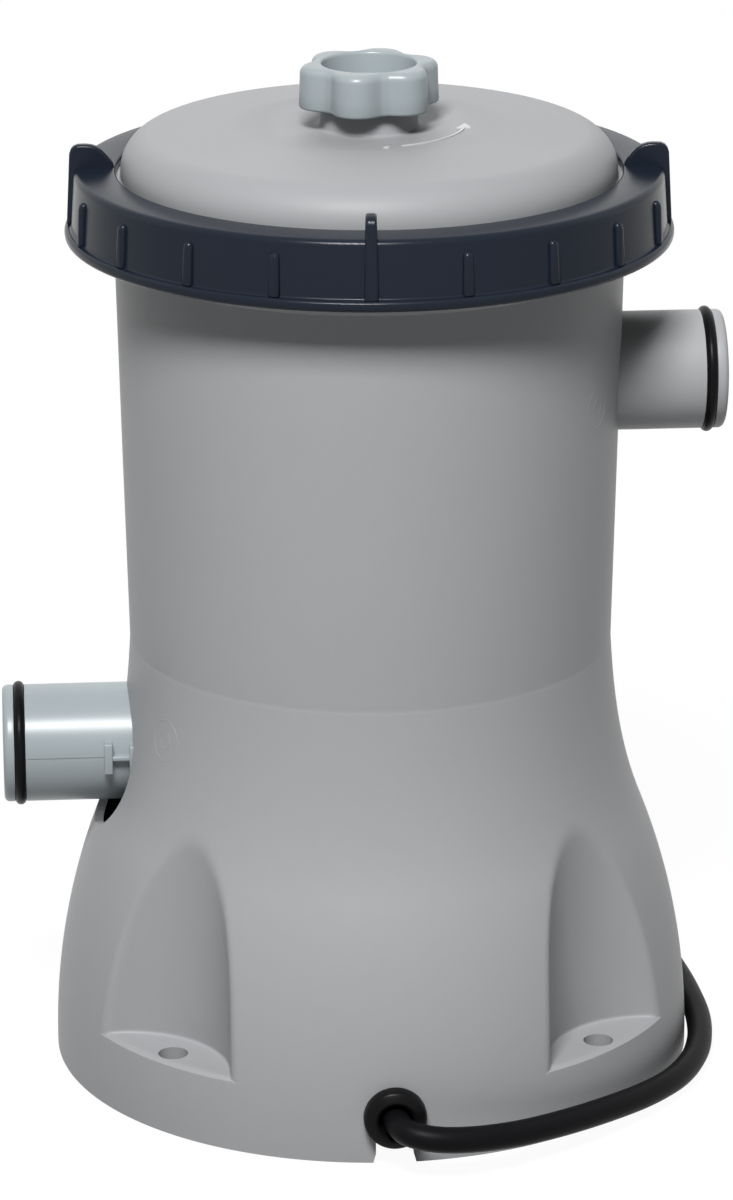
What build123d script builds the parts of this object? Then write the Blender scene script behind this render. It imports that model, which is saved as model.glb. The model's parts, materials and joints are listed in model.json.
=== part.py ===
"""Cartridge filter pump for a small above-ground pool.

A tall tank stands on a flared foot. The upper spigot lets water into the tank, a pleated cartridge
cleans it, and a pump in the foot drives it out through the lower spigot. A dark locking ring holds the
domed lid, and a knob on the lid lets the air out. Millimetres, +Z up, origin on the floor under the
middle of the tank. The front, with the mains lead, faces -Y; the spigots lie along X.
"""
import os
from math import cos, pi, radians, sin, tan

from build123d import *

os.makedirs("parts", exist_ok=True)

# ---- housing: outside ------------------------------------------------------------------------------
WALL = 2.5
FOOT_R = 87.7
FOOT_H = 2.0
BEND_R, BEND_Z = 74.9, 69.0            # where the flare turns from bulging to hollow
WAIST_R, WAIST_Z = 65.6, 118.0
SHOULDER_R, SHOULDER_Z = 67.9, 226.5   # top of the drafted wall, hidden by the locking ring
NECK_R, NECK_LO = 72.0, 230.5          # threaded neck
RIM_Z = 243.6
THREAD_R = 74.0
THREAD_ZS = (234.6, 239.4)
THREAD_SINK = 0.3                      # how far a crest's root goes into its wall

# ---- housing: inside -------------------------------------------------------------------------------
DECK_LO, DECK_HI = 107.0, 110.0        # floor of the tank
TANK_R_LO, TANK_R_HI = 63.2, 65.4
SEAT_R, SEAT_WALL, SEAT_H = 22.0, 3.0, 10.0
RIB_H = 1.5
SEAL_R_IN, SEAL_R_OUT, SEAL_DEPTH = 67.2, 70.2, 2.2

# ---- screw pockets in the foot -----------------------------------------------------------------------
POCKET_R, POCKET_AT = 28.2, 100.0
LEDGE_Z = 20.0
MOUNT_HOLE_R, MOUNT_AT, MOUNT_BOSS_R = 4.0, 81.0, 5.7
BASE_BOSS_R, FLOOR_BOSS_R = 4.5, 3.6   # bosses over the base plate, and under the tank's floor

# ---- ports -------------------------------------------------------------------------------------------
SPIGOT_R, SPIGOT_BORE_R = 16.0, 13.0
SPIGOT_END_R = 1.6
IN_Z, IN_END = 191.0, 95.2
OUT_Z, OUT_END = 88.7, -100.8
RING_BACK = 4.5                        # port O-ring's distance from the spigot's end
RING_SECTION = 1.5
RING_GROOVE_R = 13.95
WINDOW_R, WINDOW_Z = 19.9, 85.1        # round window that the outlet spigot stands in

# ---- pump --------------------------------------------------------------------------------------------
CHAMBER_R, CHAMBER_WALL = 40.0, 4.0
CHAMBER_LO, CHAMBER_FLOOR, CHAMBER_HI = 66.0, 69.0, 105.4
COLLAR_R = 43.0
FLANGE_R, FLANGE_LO, FLANGE_HI = 51.0, 100.9, 103.9
SCREW_AT = 47.0
PLATE_R, PLATE_T = 37.9, 3.0
EYE_R = 13.0
SHAFT_R, RUN_GAP = 1.5, 0.05
SCREW_GAP = 0.2                        # clearance round a screw's shank in the piece that it clamps
SHAFT_LO, SHAFT_HI = 26.0, 104.0
IMPELLER_R, DISC_Z, BLADE_HI = 25.0, 78.0, 92.0
CAN_R, CAN_WALL, CAN_LO, CAN_FLANGE_R = 14.0, 1.2, 24.0, 22.0
COVER_LO, COVER_HI = 61.0, 63.0
CASE_X, CASE_Y_LO, CASE_Y_HI, CASE_LO = 36.0, -22.0, 54.0, 20.0
CORE_LO, CORE_HI = 36.0, 54.0
LEG_IN, LEG_OUT, YOKE_LO, YOKE_HI = 15.0, 25.0, 40.0, 50.0

CHAMBER_SCREW_R = 1.9
HUB_R = 6.0
MAGNET_R, MAGNET_LO, MAGNET_L, SLEEVE_WALL, SLEEVE_R = 11.2, 33.0, 24.0, 1.0, 11.8
PRESS_GAP = 0.02                       # between pieces of the rotor that are pressed together
REAR_BUSH_HI, FRONT_BUSH_LO = 30.0, 99.0
KEY_TABS = ((-72.4, 2.3, 8.5), (-66.1, 1.2, 7.0))
KEY_Z, KEY_PROUD, KEY_WEB_T = 89.9, 2.9, 1.3

BOBBIN_LO, BOBBIN_L = 16.0, 22.0
CHEEK_T, CHEEK_PROUD, TUBE_WALL = 2.0, 6.0, 1.4
CASE_SCREW_X, CASE_SCREW_PITCH, CASE_SCREW_R, CASE_SCREW_L = 31.0, 66.0, 1.5, 12.0
LEAD_IN_Z = 28.0

# ---- base and cable ----------------------------------------------------------------------------------
BASE_T, BASE_SLOT_W, BASE_SLOT_L = 4.0, 12.0, 20.0
BASE_SCREW_AT, BASE_SCREW_START, BASE_SCREW_R = 80.2, 20, 1.6
CABLE_R, CABLE_Z = 3.5, 14.7
BEAD_R, BEAD_BACK, BEAD_FRONT = 8.5, -87.75, -92.8
CLAMP_Y, CLAMP_W, CLAMP_EAR, CLAMP_Z = -68.0, 8.0, 9.5, 11.0
CLAMP_T, CLAMP_TOP, CLAMP_SCREW_R = 2.5, 20.3, 1.3
GROMMET_GAP = 0.03                     # round the cable, inside the grommet
INNER_ROUTE = [(0, -88, CABLE_Z), (0, -54, CABLE_Z), (0, -38, LEAD_IN_Z), (0, -19.5, LEAD_IN_Z)]

# ---- lid and locking ring ----------------------------------------------------------------------------
LID_R, LID_WALL = 65.9, 3.0
LID_LO, LID_LIP, LID_LIP_R = 244.0, 246.6, 73.0
LID_EDGE_Z, LID_EDGE_R = 248.8, 9.8
DOME_TOP, DOME_R = 262.2, 442.0
DISH_R, DISH_Z = 33.0, 259.8
NOZZLE_R, NOZZLE_TOP = 13.0, 267.2
RING_LO, RING_FLANGE_T, RING_FLANGE_R = 230.8, 2.9, 81.0
RING_R_LO, RING_R_HI, RING_TOP = 79.2, 78.2, 249.0
RING_EYE_R, RING_IN_R, RING_THREAD_R = 67.2, 76.0, 74.4
RING_PITCH = 18.0                      # degrees from one rib or fin to the next
FIN_START = -93.7                      # direction of the first tall fin, from +X
FIN_T, FIN_TOP, FIN_R, FIN_CROWN_R = 3.0, 255.1, 80.4, 75.0
THREAD_GRIP = 2.4                      # the ring's thread crests stand this far below the neck's
RIB_T, RIB_TOP, RIB_R = 2.8, 245.3, 80.2

# ---- air valve ---------------------------------------------------------------------------------------
KNOB_R, KNOB_VALLEY_R, KNOB_LO, KNOB_HI = 19.0, 15.8, 265.7, 277.0
LOBE_R, LOBES, LOBE_START = 6.5, 6, 12.0
CUP_R, CUP_FLOOR = 12.5, 270.5
PLUG_R, PLUG_LO, PLUG_HI = 4.0, 252.0, 269.4
VALVE_BORE_R, VALVE_SEAT_R = 4.05, 7.0

# ---- cartridge ---------------------------------------------------------------------------------------
CART_R, CART_CORE_R, CART_LO, CART_HI, CAP_T = 53.0, 24.0, 111.5, 247.5, 4.0
PLEATS, PLEAT_R_OUT, PLEAT_R_IN = 44, 51.0, 46.5
SLOT_L, SLOT_W, SLOT_PITCH, SLOT_ROWS = 13.0, 7.0, 20.0, 6

# ---- mains lead: hand-laid route, leaving the grommet, round the foot and back to the coil ------------
LEAD_ROUTE = [
    (0.0, -88.0, 14.7), (0.0, -95.0, 14.7), (4.6, -100.5, 13.9), (14.5, -101.0, 12.2),
    (30.0, -95.0, 10.0), (45.2, -84.6, 8.4), (60.3, -71.8, 6.8), (72.5, -59.0, 5.2),
    (82.0, -45.4, 4.1), (89.4, -28.3, 3.5), (92.6, -8.0, 3.5), (93.4, 14.3, 3.5),
    (91.5, 38.3, 3.5), (85.0, 62.0, 3.5), (72.0, 83.5, 3.5), (54.0, 96.5, 3.5), (37.0, 99.4, 3.5)]
COIL_X, COIL_Y, COIL_MEAN_R, COIL_HALF, COIL_TURNS = 36.0, 146.0, 40.0, 10.5, 7
TAIL_ROUTE = [
    (36.0, 106.0, 17.5), (27.0, 98.5, 24.6), (15.5, 101.0, 24.8), (3.5, 106.5, 21.0),
    (-9.5, 114.5, 14.5), (-20.5, 125.5, 9.5), (-27.3, 136.2, 7.2), (-33.5, 151.0, 7.0)]
PLUG_START = (-29.65, 141.8, 7.0)
PLUG_HEADING = (-5.0, 12.0, 0.0)
PLUG_BODY_L, PLUG_BODY_W, PLUG_BODY_T, PLUG_TAIL_L = 36.0, 35.0, 13.6, 20.0
PLUG_PIN_L, PLUG_PIN_R, PLUG_PIN_GAP = 19.0, 2.0, 18.6
PLUG_TAPER_L = 0.62 * PLUG_BODY_L


def ring_sketch(outer, inner):
    """Add a flat ring to the sketch in work."""
    Circle(outer)
    Circle(inner, mode=Mode.SUBTRACT)


def arc_radii(route):
    """The largest tangent arc that each corner of a cable's route has room for."""
    points = [Vector(*p) for p in route]
    radii = []
    for before, corner, after in zip(points, points[1:], points[2:]):
        turn = radians((corner - before).get_angle(after - corner))
        shorter = min((corner - before).length, (after - corner).length)
        radii.append(0.45 * shorter / tan(turn / 2))
    return radii


def cable(name, route, radius):
    """A cable as straight runs joined by tangent arcs; prints its radii and checks its volume."""
    radii = arc_radii(route)
    with BuildPart() as tube:
        with BuildLine() as path:
            FilletPolyline(*route, radius=radii)
        with BuildSketch(Plane(route[0], z_dir=path.wires()[0] % 0)):
            Circle(radius)
        sweep()
    length = path.wires()[0].length
    ratio = tube.part.volume / (pi * radius ** 2 * length)
    print(name, "length", round(length, 1), "radii", [round(r, 1) for r in radii], "volume", round(ratio, 4))
    return tube.part, length


# ======================================================================================================
# Housing: foot, tank and threaded neck in one moulding
# ======================================================================================================
flare_r = ((FOOT_R - BEND_R) ** 2 + (BEND_Z - FOOT_H) ** 2) / (2 * (FOOT_R - BEND_R))
waist_r = ((BEND_R - WAIST_R) ** 2 + (WAIST_Z - BEND_Z) ** 2) / (2 * (BEND_R - WAIST_R))
bend_sin = (BEND_Z - FOOT_H) / flare_r
bend_cos = (1 - bend_sin ** 2) ** 0.5
bend_in = (BEND_R - WALL * bend_cos, BEND_Z - WALL * bend_sin)
deck_edge = (WAIST_R + waist_r - ((waist_r + WALL) ** 2 - (WAIST_Z - DECK_LO) ** 2) ** 0.5, DECK_LO)

with BuildPart() as foot_hollow:
    with BuildSketch(Plane.XZ):
        with BuildLine():
            Polyline((0, 0), (0, DECK_LO), deck_edge)
            RadiusArc(deck_edge, bend_in, -(waist_r + WALL))
            TangentArc((FOOT_R - WALL, FOOT_H), bend_in, tangent=(0, 1))
            Polyline((FOOT_R - WALL, FOOT_H), (FOOT_R - WALL, 0), (0, 0))
        make_face()
    revolve(axis=Axis.Z)
    with BuildSketch(Plane.XY.offset(LEDGE_Z - WALL)):
        with PolarLocations(POCKET_AT, 4, start_angle=45):
            Circle(POCKET_R + WALL)
    extrude(amount=80, mode=Mode.SUBTRACT)

with BuildPart() as moulding:
    with BuildSketch(Plane.XZ):
        with BuildLine():
            Polyline((0, RIM_Z), (0, 0), (FOOT_R, 0), (FOOT_R, FOOT_H))
            TangentArc((FOOT_R, FOOT_H), (BEND_R, BEND_Z), tangent=(0, 1))
            TangentArc((WAIST_R, WAIST_Z), (BEND_R, BEND_Z), tangent=(0, -1))
            Polyline((WAIST_R, WAIST_Z), (SHOULDER_R, SHOULDER_Z), (NECK_R, NECK_LO),
                     (NECK_R, RIM_Z), (0, RIM_Z))
        make_face()
    revolve(axis=Axis.Z)
    # four pockets for the mounting screws
    with BuildSketch(Plane.XY.offset(LEDGE_Z)):
        with PolarLocations(POCKET_AT, 4, start_angle=45):
            Circle(POCKET_R)
    extrude(amount=80, mode=Mode.SUBTRACT)
    # hollow foot and hollow tank, with the seat of the cartridge standing on the tank's floor
    add(foot_hollow.part, mode=Mode.SUBTRACT)
    with BuildSketch(Plane.XZ):
        with BuildLine():
            Polyline((0, DECK_HI + SEAT_H), (SEAT_R, DECK_HI + SEAT_H), (SEAT_R, DECK_HI),
                     (TANK_R_LO, DECK_HI), (TANK_R_HI, RIM_Z), (0, RIM_Z), close=True)
        make_face()
    revolve(axis=Axis.Z, mode=Mode.SUBTRACT)
    with BuildSketch(Plane.XY.offset(DECK_LO)):
        Circle(SEAT_R - SEAT_WALL)
    extrude(amount=DECK_HI - DECK_LO + SEAT_H, mode=Mode.SUBTRACT)
    # thread crests on the neck
    with BuildSketch(Plane.XZ):
        for crest_z in THREAD_ZS:
            with Locations((0, crest_z)):
                Polygon((NECK_R - THREAD_SINK, -1.5), (NECK_R, -1.5), (THREAD_R, -0.5),
                        (THREAD_R, 0.5), (NECK_R, 1.5), (NECK_R - THREAD_SINK, 1.5), align=None)
    revolve(axis=Axis.Z)
    # bosses: four for the mounting screws, four for the base plate, six under the tank's floor
    with BuildSketch():
        with PolarLocations(MOUNT_AT, 4, start_angle=45):
            Circle(MOUNT_BOSS_R)
    extrude(amount=LEDGE_Z)
    with BuildSketch(Plane.XY.offset(BASE_T)):
        with PolarLocations(BASE_SCREW_AT, 4, start_angle=BASE_SCREW_START):
            Circle(BASE_BOSS_R)
    extrude(amount=24)
    with BuildSketch(Plane.XY.offset(FLANGE_HI)):
        with PolarLocations(SCREW_AT, 6, start_angle=30):
            Circle(FLOOR_BOSS_R)
    extrude(amount=DECK_LO - FLANGE_HI + 0.5)
    # ribs that the cartridge stands on
    with BuildSketch(Plane.XY.offset(DECK_HI)):
        with PolarLocations(40, 4, start_angle=45):
            Rectangle(24, 3)
    extrude(amount=RIB_H)
    # screw holes
    with BuildSketch():
        with PolarLocations(MOUNT_AT, 4, start_angle=45):
            Circle(MOUNT_HOLE_R)
    extrude(amount=LEDGE_Z, mode=Mode.SUBTRACT)
    with BuildSketch(Plane.XY.offset(BASE_T)):
        with PolarLocations(BASE_SCREW_AT, 4, start_angle=BASE_SCREW_START):
            Circle(BASE_SCREW_R + RUN_GAP)
    extrude(amount=16, mode=Mode.SUBTRACT)
    with BuildSketch(Plane.XY.offset(FLANGE_HI)):
        with PolarLocations(SCREW_AT, 6, start_angle=30):
            Circle(CHAMBER_SCREW_R + RUN_GAP)
    extrude(amount=5.1, mode=Mode.SUBTRACT)
    # groove for the lid's seal
    with BuildSketch(Plane.XY.offset(RIM_Z)):
        ring_sketch(SEAL_R_OUT, SEAL_R_IN)
    extrude(amount=-SEAL_DEPTH, mode=Mode.SUBTRACT)
    # hole for the inlet spigot and window round the outlet spigot
    with BuildSketch(Plane.YZ.offset(50)):
        with Locations((0, IN_Z)):
            Circle(SPIGOT_R + RUN_GAP)
    extrude(amount=30, mode=Mode.SUBTRACT)
    with BuildSketch(Plane.YZ.offset(-95)):
        with Locations((0, WINDOW_Z)):
            Circle(WINDOW_R)
    extrude(amount=42, mode=Mode.SUBTRACT)
    # notch for the cable, open at the foot
    with BuildSketch(Plane.XZ.offset(80)):
        with BuildLine():
            Polyline((-5.0, CABLE_Z), (-5.0, 2.6), (-6.0, 0), (6.0, 0), (5.0, 2.6), (5.0, CABLE_Z))
            ThreePointArc((5.0, CABLE_Z), (0, CABLE_Z + 5.0), (-5.0, CABLE_Z))
        make_face()
    extrude(amount=12, mode=Mode.SUBTRACT)

# the moulding is kept as three nodes that meet face to face: the tank's floor, the tank's wall and the foot
with BuildPart() as floor_zone:
    with BuildSketch(Plane.XY.offset(FLANGE_HI)):
        Circle(SCREW_AT + FLOOR_BOSS_R + 0.2)
    extrude(amount=DECK_LO - FLANGE_HI)
    with BuildSketch(Plane.XY.offset(DECK_LO)):
        Circle(TANK_R_LO)
    extrude(amount=DECK_HI - DECK_LO + SEAT_H + 1)

with BuildPart() as tank_floor:
    add(moulding.part)
    add(floor_zone.part, mode=Mode.INTERSECT)
tank_floor.part.label = "tank_floor"
export_step(tank_floor.part, "parts/tank_floor.step")

with BuildPart() as tank_wall:
    add(moulding.part)
    add(floor_zone.part, mode=Mode.SUBTRACT)
    split(bisect_by=Plane.XY.offset(DECK_LO), keep=Keep.TOP)
tank_wall.part.label = "tank_wall"
export_step(tank_wall.part, "parts/tank_wall.step")

with BuildPart() as foot_housing:
    add(moulding.part)
    add(floor_zone.part, mode=Mode.SUBTRACT)
    split(bisect_by=Plane.XY.offset(DECK_LO), keep=Keep.BOTTOM)
foot_housing.part.label = "foot_housing"
export_step(foot_housing.part, "parts/foot_housing.step")

# ======================================================================================================
# Ports
# ======================================================================================================
with BuildPart() as upper_spigot:
    with BuildSketch(Plane.YZ.offset(TANK_R_LO + 1.5)):
        with Locations((0, IN_Z)):
            Circle(SPIGOT_R)
    extrude(amount=IN_END - TANK_R_LO - 1.5)
    fillet(upper_spigot.faces().sort_by(Axis.X)[-1].edges(), radius=SPIGOT_END_R)
    with BuildSketch(Plane.YZ.offset(TANK_R_LO + 1.5)):
        with Locations((0, IN_Z)):
            Circle(SPIGOT_BORE_R)
    extrude(amount=IN_END, mode=Mode.SUBTRACT)
    with BuildSketch(Plane.YZ.offset(IN_END - RING_BACK - RING_SECTION)):
        with Locations((0, IN_Z)):
            ring_sketch(SPIGOT_R + 1, RING_GROOVE_R)
    extrude(amount=2 * RING_SECTION, mode=Mode.SUBTRACT)
upper_spigot.part.label = "upper_spigot"
export_step(upper_spigot.part, "parts/upper_spigot.step")


def port_ring(end_x, axis_z):
    """The O-ring round a spigot whose end is at end_x."""
    towards_tank = -1 if end_x > 0 else 1
    with BuildPart() as ring:
        with BuildSketch(Plane.XZ):
            with Locations((end_x + towards_tank * RING_BACK, axis_z + RING_GROOVE_R + RING_SECTION)):
                Circle(RING_SECTION - 0.01)
        revolve(axis=Axis((0, 0, axis_z), (1, 0, 0)))
    return ring.part


with BuildPart() as upper_port_ring:
    add(port_ring(IN_END, IN_Z))
upper_port_ring.part.label = "upper_port_ring"
export_step(upper_port_ring.part, "parts/upper_port_ring.step")

with BuildPart() as lower_port_ring:
    add(port_ring(OUT_END, OUT_Z))
lower_port_ring.part.label = "lower_port_ring"
export_step(lower_port_ring.part, "parts/lower_port_ring.step")

# ======================================================================================================
# Pump chamber: a cup hung under the tank's floor, with the outlet spigot
# ======================================================================================================
with BuildPart() as pump_chamber:
    with BuildSketch(Plane.XZ):
        with BuildLine():
            Polyline((0, CHAMBER_LO), (CHAMBER_R, CHAMBER_LO), (CHAMBER_R, FLANGE_LO), (FLANGE_R, FLANGE_LO),
                     (FLANGE_R, FLANGE_HI), (COLLAR_R, FLANGE_HI), (COLLAR_R, CHAMBER_HI), (0, CHAMBER_HI),
                     close=True)
        make_face()
    revolve(axis=Axis.Z)
    with BuildSketch(Plane.YZ.offset(OUT_END)):
        with Locations((0, OUT_Z)):
            Circle(SPIGOT_R)
    extrude(amount=-OUT_END - CHAMBER_R + CHAMBER_WALL)
    fillet(pump_chamber.faces().sort_by(Axis.X)[0].edges(), radius=SPIGOT_END_R)
    # locating key on the front of the spigot: a web between two upright tabs
    for tab_x, tab_w, tab_h in KEY_TABS:
        with Locations((tab_x, -SPIGOT_R - KEY_PROUD / 2 + 1.5, KEY_Z)):
            Box(tab_w, KEY_PROUD + 3, tab_h)
    with Locations(((KEY_TABS[0][0] + KEY_TABS[1][0]) / 2, -SPIGOT_R - KEY_PROUD / 2 + 1.5, KEY_Z)):
        Box(KEY_TABS[1][0] - KEY_TABS[0][0], KEY_PROUD + 2, KEY_WEB_T)
    # hollows
    with BuildSketch(Plane.YZ.offset(OUT_END)):
        with Locations((0, OUT_Z)):
            Circle(SPIGOT_BORE_R)
    extrude(amount=-OUT_END - CHAMBER_R + 2 * CHAMBER_WALL, mode=Mode.SUBTRACT)
    with BuildSketch(Plane.XY.offset(CHAMBER_FLOOR)):
        Circle(CHAMBER_R - CHAMBER_WALL)
    extrude(amount=CHAMBER_HI - CHAMBER_FLOOR, mode=Mode.SUBTRACT)
    with BuildSketch(Plane.XY.offset(CHAMBER_HI - PLATE_T)):
        Circle(PLATE_R + 0.1)
    extrude(amount=PLATE_T, mode=Mode.SUBTRACT)
    with BuildSketch(Plane.XY.offset(CHAMBER_LO)):
        Circle(CAN_R - CAN_WALL)
    extrude(amount=CHAMBER_FLOOR - CHAMBER_LO, mode=Mode.SUBTRACT)
    with BuildSketch(Plane.YZ.offset(OUT_END + RING_BACK - RING_SECTION)):
        with Locations((0, OUT_Z)):
            ring_sketch(SPIGOT_R + 1, RING_GROOVE_R)
    extrude(amount=2 * RING_SECTION, mode=Mode.SUBTRACT)
    with BuildSketch(Plane.XY.offset(FLANGE_LO)):
        with PolarLocations(SCREW_AT, 6, start_angle=30):
            Circle(CHAMBER_SCREW_R + SCREW_GAP)
    extrude(amount=FLANGE_HI - FLANGE_LO, mode=Mode.SUBTRACT)
pump_chamber.part.label = "pump_chamber"
export_step(pump_chamber.part, "parts/pump_chamber.step")

with BuildPart() as chamber_seal:
    with BuildSketch(Plane.XY.offset(CHAMBER_HI)):
        ring_sketch(COLLAR_R - 0.5, PLATE_R + 0.6)
    extrude(amount=DECK_LO - CHAMBER_HI)
chamber_seal.part.label = "chamber_seal"
export_step(chamber_seal.part, "parts/chamber_seal.step")

with BuildPart() as chamber_screws:
    with BuildSketch(Plane.XY.offset(FLANGE_LO)):
        with PolarLocations(SCREW_AT, 6, start_angle=30):
            Circle(3.4)
    extrude(amount=-2.4)
    with BuildSketch(Plane.XY.offset(FLANGE_LO)):
        with PolarLocations(SCREW_AT, 6, start_angle=30):
            Circle(CHAMBER_SCREW_R)
    extrude(amount=7.6)
chamber_screws.part.label = "chamber_screws"
export_step(chamber_screws.part, "parts/chamber_screws.step")

# plate with the impeller's eye and the spider that holds the front bush
with BuildPart() as suction_plate:
    with BuildSketch(Plane.XY.offset(CHAMBER_HI - PLATE_T)):
        Circle(PLATE_R)
        Circle(EYE_R, mode=Mode.SUBTRACT)
        with PolarLocations(EYE_R / 2 + 1, 3, start_angle=90):
            Rectangle(EYE_R - 0.5, 2.4)
        Circle(5)
        Circle(3.02, mode=Mode.SUBTRACT)
    extrude(amount=PLATE_T)
    with BuildSketch(Plane.XY.offset(CHAMBER_HI - PLATE_T - 5)):
        ring_sketch(EYE_R + 2, EYE_R)
    extrude(amount=5)
suction_plate.part.label = "suction_plate"
export_step(suction_plate.part, "parts/suction_plate.step")

# ======================================================================================================
# Wet rotor: fixed shaft, two bushes, magnet and impeller in one turning unit, and the can round it
# ======================================================================================================
with BuildPart() as rotor_can:
    with BuildSketch(Plane.XZ):
        with BuildLine():
            Polyline((0, CAN_LO), (CAN_R, CAN_LO), (CAN_R, COVER_HI), (CAN_FLANGE_R, COVER_HI),
                     (CAN_FLANGE_R, CHAMBER_LO), (19.6, CHAMBER_LO), (19.6, CHAMBER_LO - 1.7),
                     (17.2, CHAMBER_LO - 1.7), (17.2, CHAMBER_LO), (CAN_R - CAN_WALL, CHAMBER_LO),
                     (CAN_R - CAN_WALL, CAN_LO + 2), (0, CAN_LO + 2), close=True)
        make_face()
    revolve(axis=Axis.Z)
rotor_can.part.label = "rotor_can"
export_step(rotor_can.part, "parts/rotor_can.step")

with BuildPart() as can_seal:
    with BuildSketch(Plane.XZ):
        with Locations((18.4, CHAMBER_LO - 0.85)):
            Circle(0.84)
    revolve(axis=Axis.Z)
can_seal.part.label = "can_seal"
export_step(can_seal.part, "parts/can_seal.step")

with BuildPart() as shaft:
    with BuildSketch(Plane.XY.offset(SHAFT_LO)):
        Circle(SHAFT_R)
    extrude(amount=SHAFT_HI - SHAFT_LO)
    chamfer(shaft.edges().filter_by(GeomType.CIRCLE), length=0.3)
shaft.part.label = "shaft"
export_step(shaft.part, "parts/shaft.step")

with BuildPart() as rear_bush:
    with BuildSketch(Plane.XY.offset(SHAFT_LO)):
        ring_sketch(5, SHAFT_R + 0.01)
    extrude(amount=REAR_BUSH_HI - SHAFT_LO)
rear_bush.part.label = "rear_bush"
export_step(rear_bush.part, "parts/rear_bush.step")

with BuildPart() as front_bush:
    with BuildSketch(Plane.XY.offset(FRONT_BUSH_LO)):
        ring_sketch(3, SHAFT_R + 0.01)
    extrude(amount=CHAMBER_HI - 1 - FRONT_BUSH_LO)
front_bush.part.label = "front_bush"
export_step(front_bush.part, "parts/front_bush.step")

with BuildPart() as impeller:
    with BuildSketch(Plane.XY.offset(REAR_BUSH_HI + 0.5)):
        Circle(HUB_R)
    extrude(amount=BLADE_HI - REAR_BUSH_HI - 0.5)
    with BuildSketch(Plane.XY.offset(BLADE_HI)):
        Circle(3.6)
    extrude(amount=FRONT_BUSH_LO - 0.5 - BLADE_HI)
    with BuildSketch(Plane.XY.offset(DISC_Z)):
        Circle(IMPELLER_R)
    extrude(amount=2)
    with BuildSketch(Plane.XY.offset(DISC_Z)):
        with PolarLocations(0, 6):
            with BuildLine(mode=Mode.PRIVATE) as vane_line:
                ThreePointArc((HUB_R - 1, 0), (14.5, 4.2), (IMPELLER_R - 2.5, 12.0))
            with BuildLine():
                offset(vane_line.line, amount=0.8, side=Side.BOTH)
            make_face()
    extrude(amount=BLADE_HI - DISC_Z)
    with BuildSketch(Plane.XY.offset(REAR_BUSH_HI)):
        Circle(SHAFT_R + RUN_GAP)
    extrude(amount=SHAFT_HI, mode=Mode.SUBTRACT)
impeller.part.label = "impeller"
export_step(impeller.part, "parts/impeller.step")

with BuildPart() as rotor_magnet:
    with BuildSketch(Plane.XY.offset(MAGNET_LO)):
        ring_sketch(MAGNET_R, HUB_R + PRESS_GAP)
    extrude(amount=MAGNET_L)
rotor_magnet.part.label = "rotor_magnet"
export_step(rotor_magnet.part, "parts/rotor_magnet.step")

with BuildPart() as rotor_sleeve:
    with BuildSketch(Plane.XY.offset(MAGNET_LO - SLEEVE_WALL)):
        Circle(SLEEVE_R)
    extrude(amount=MAGNET_L + 2 * SLEEVE_WALL)
    with BuildSketch(Plane.XY.offset(MAGNET_LO)):
        Circle(MAGNET_R + PRESS_GAP)
    extrude(amount=MAGNET_L, mode=Mode.SUBTRACT)
    with BuildSketch(Plane.XY.offset(MAGNET_LO - SLEEVE_WALL)):
        Circle(HUB_R + PRESS_GAP)
    extrude(amount=MAGNET_L + 2 * SLEEVE_WALL, mode=Mode.SUBTRACT)
rotor_sleeve.part.label = "rotor_sleeve"
export_step(rotor_sleeve.part, "parts/rotor_sleeve.step")

# ======================================================================================================
# Motor: U-shaped stator with two coils, potted in a case under the pump chamber
# ======================================================================================================
with BuildPart() as stator_core:
    with BuildSketch(Plane.XY.offset(CORE_LO)):
        with Locations((0, (YOKE_LO + YOKE_HI) / 2)):
            Rectangle(2 * LEG_OUT, YOKE_HI - YOKE_LO)
        for side in (-1, 1):
            with Locations((side * (LEG_IN + LEG_OUT) / 2, (YOKE_LO - 15) / 2)):
                Rectangle(LEG_OUT - LEG_IN, YOKE_LO + 15)
            with Locations((side * 15, 0)):
                Rectangle(18, 30)
        Circle(CAN_R + 0.4, mode=Mode.SUBTRACT)
    extrude(amount=CORE_HI - CORE_LO)
stator_core.part.label = "stator_core"
export_step(stator_core.part, "parts/stator_core.step")

LEG_MID = (LEG_IN + LEG_OUT) / 2
LEG_W = LEG_OUT - LEG_IN
CORE_MID = (CORE_LO + CORE_HI) / 2
CORE_T = CORE_HI - CORE_LO
BOBBIN_HI = BOBBIN_LO + BOBBIN_L

with BuildPart() as coil_bobbins:
    cheek, tube_part = (CHEEK_T, CHEEK_PROUD), (BOBBIN_L, TUBE_WALL)
    for start, (length, wide) in ((BOBBIN_LO, cheek), (BOBBIN_LO, tube_part), (BOBBIN_HI - CHEEK_T, cheek)):
        with BuildSketch(Plane.XZ.offset(-start)):
            with Locations((LEG_MID, CORE_MID), (-LEG_MID, CORE_MID)):
                RectangleRounded(LEG_W + 2 * wide, CORE_T + 2 * wide, 1.2)
        extrude(amount=-length)
    with BuildSketch(Plane.XZ.offset(-BOBBIN_LO)):
        with Locations((LEG_MID, CORE_MID), (-LEG_MID, CORE_MID)):
            Rectangle(LEG_W + 0.3, CORE_T + 0.3)
    extrude(amount=-BOBBIN_L, mode=Mode.SUBTRACT)
coil_bobbins.part.label = "coil_bobbins"
export_step(coil_bobbins.part, "parts/coil_bobbins.step")

with BuildPart() as coil_windings:
    with BuildSketch(Plane.XZ.offset(-BOBBIN_LO - 2.05)):
        with Locations((LEG_MID, CORE_MID), (-LEG_MID, CORE_MID)):
            RectangleRounded(LEG_W + 10.6, CORE_T + 10.6, 4)
            Rectangle(LEG_W + 2.9, CORE_T + 2.9, mode=Mode.SUBTRACT)
    extrude(amount=-BOBBIN_L + 4.1)
coil_windings.part.label = "coil_windings"
export_step(coil_windings.part, "parts/coil_windings.step")

CASE_MID_Y, CASE_L = (CASE_Y_LO + CASE_Y_HI) / 2, CASE_Y_HI - CASE_Y_LO

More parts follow.
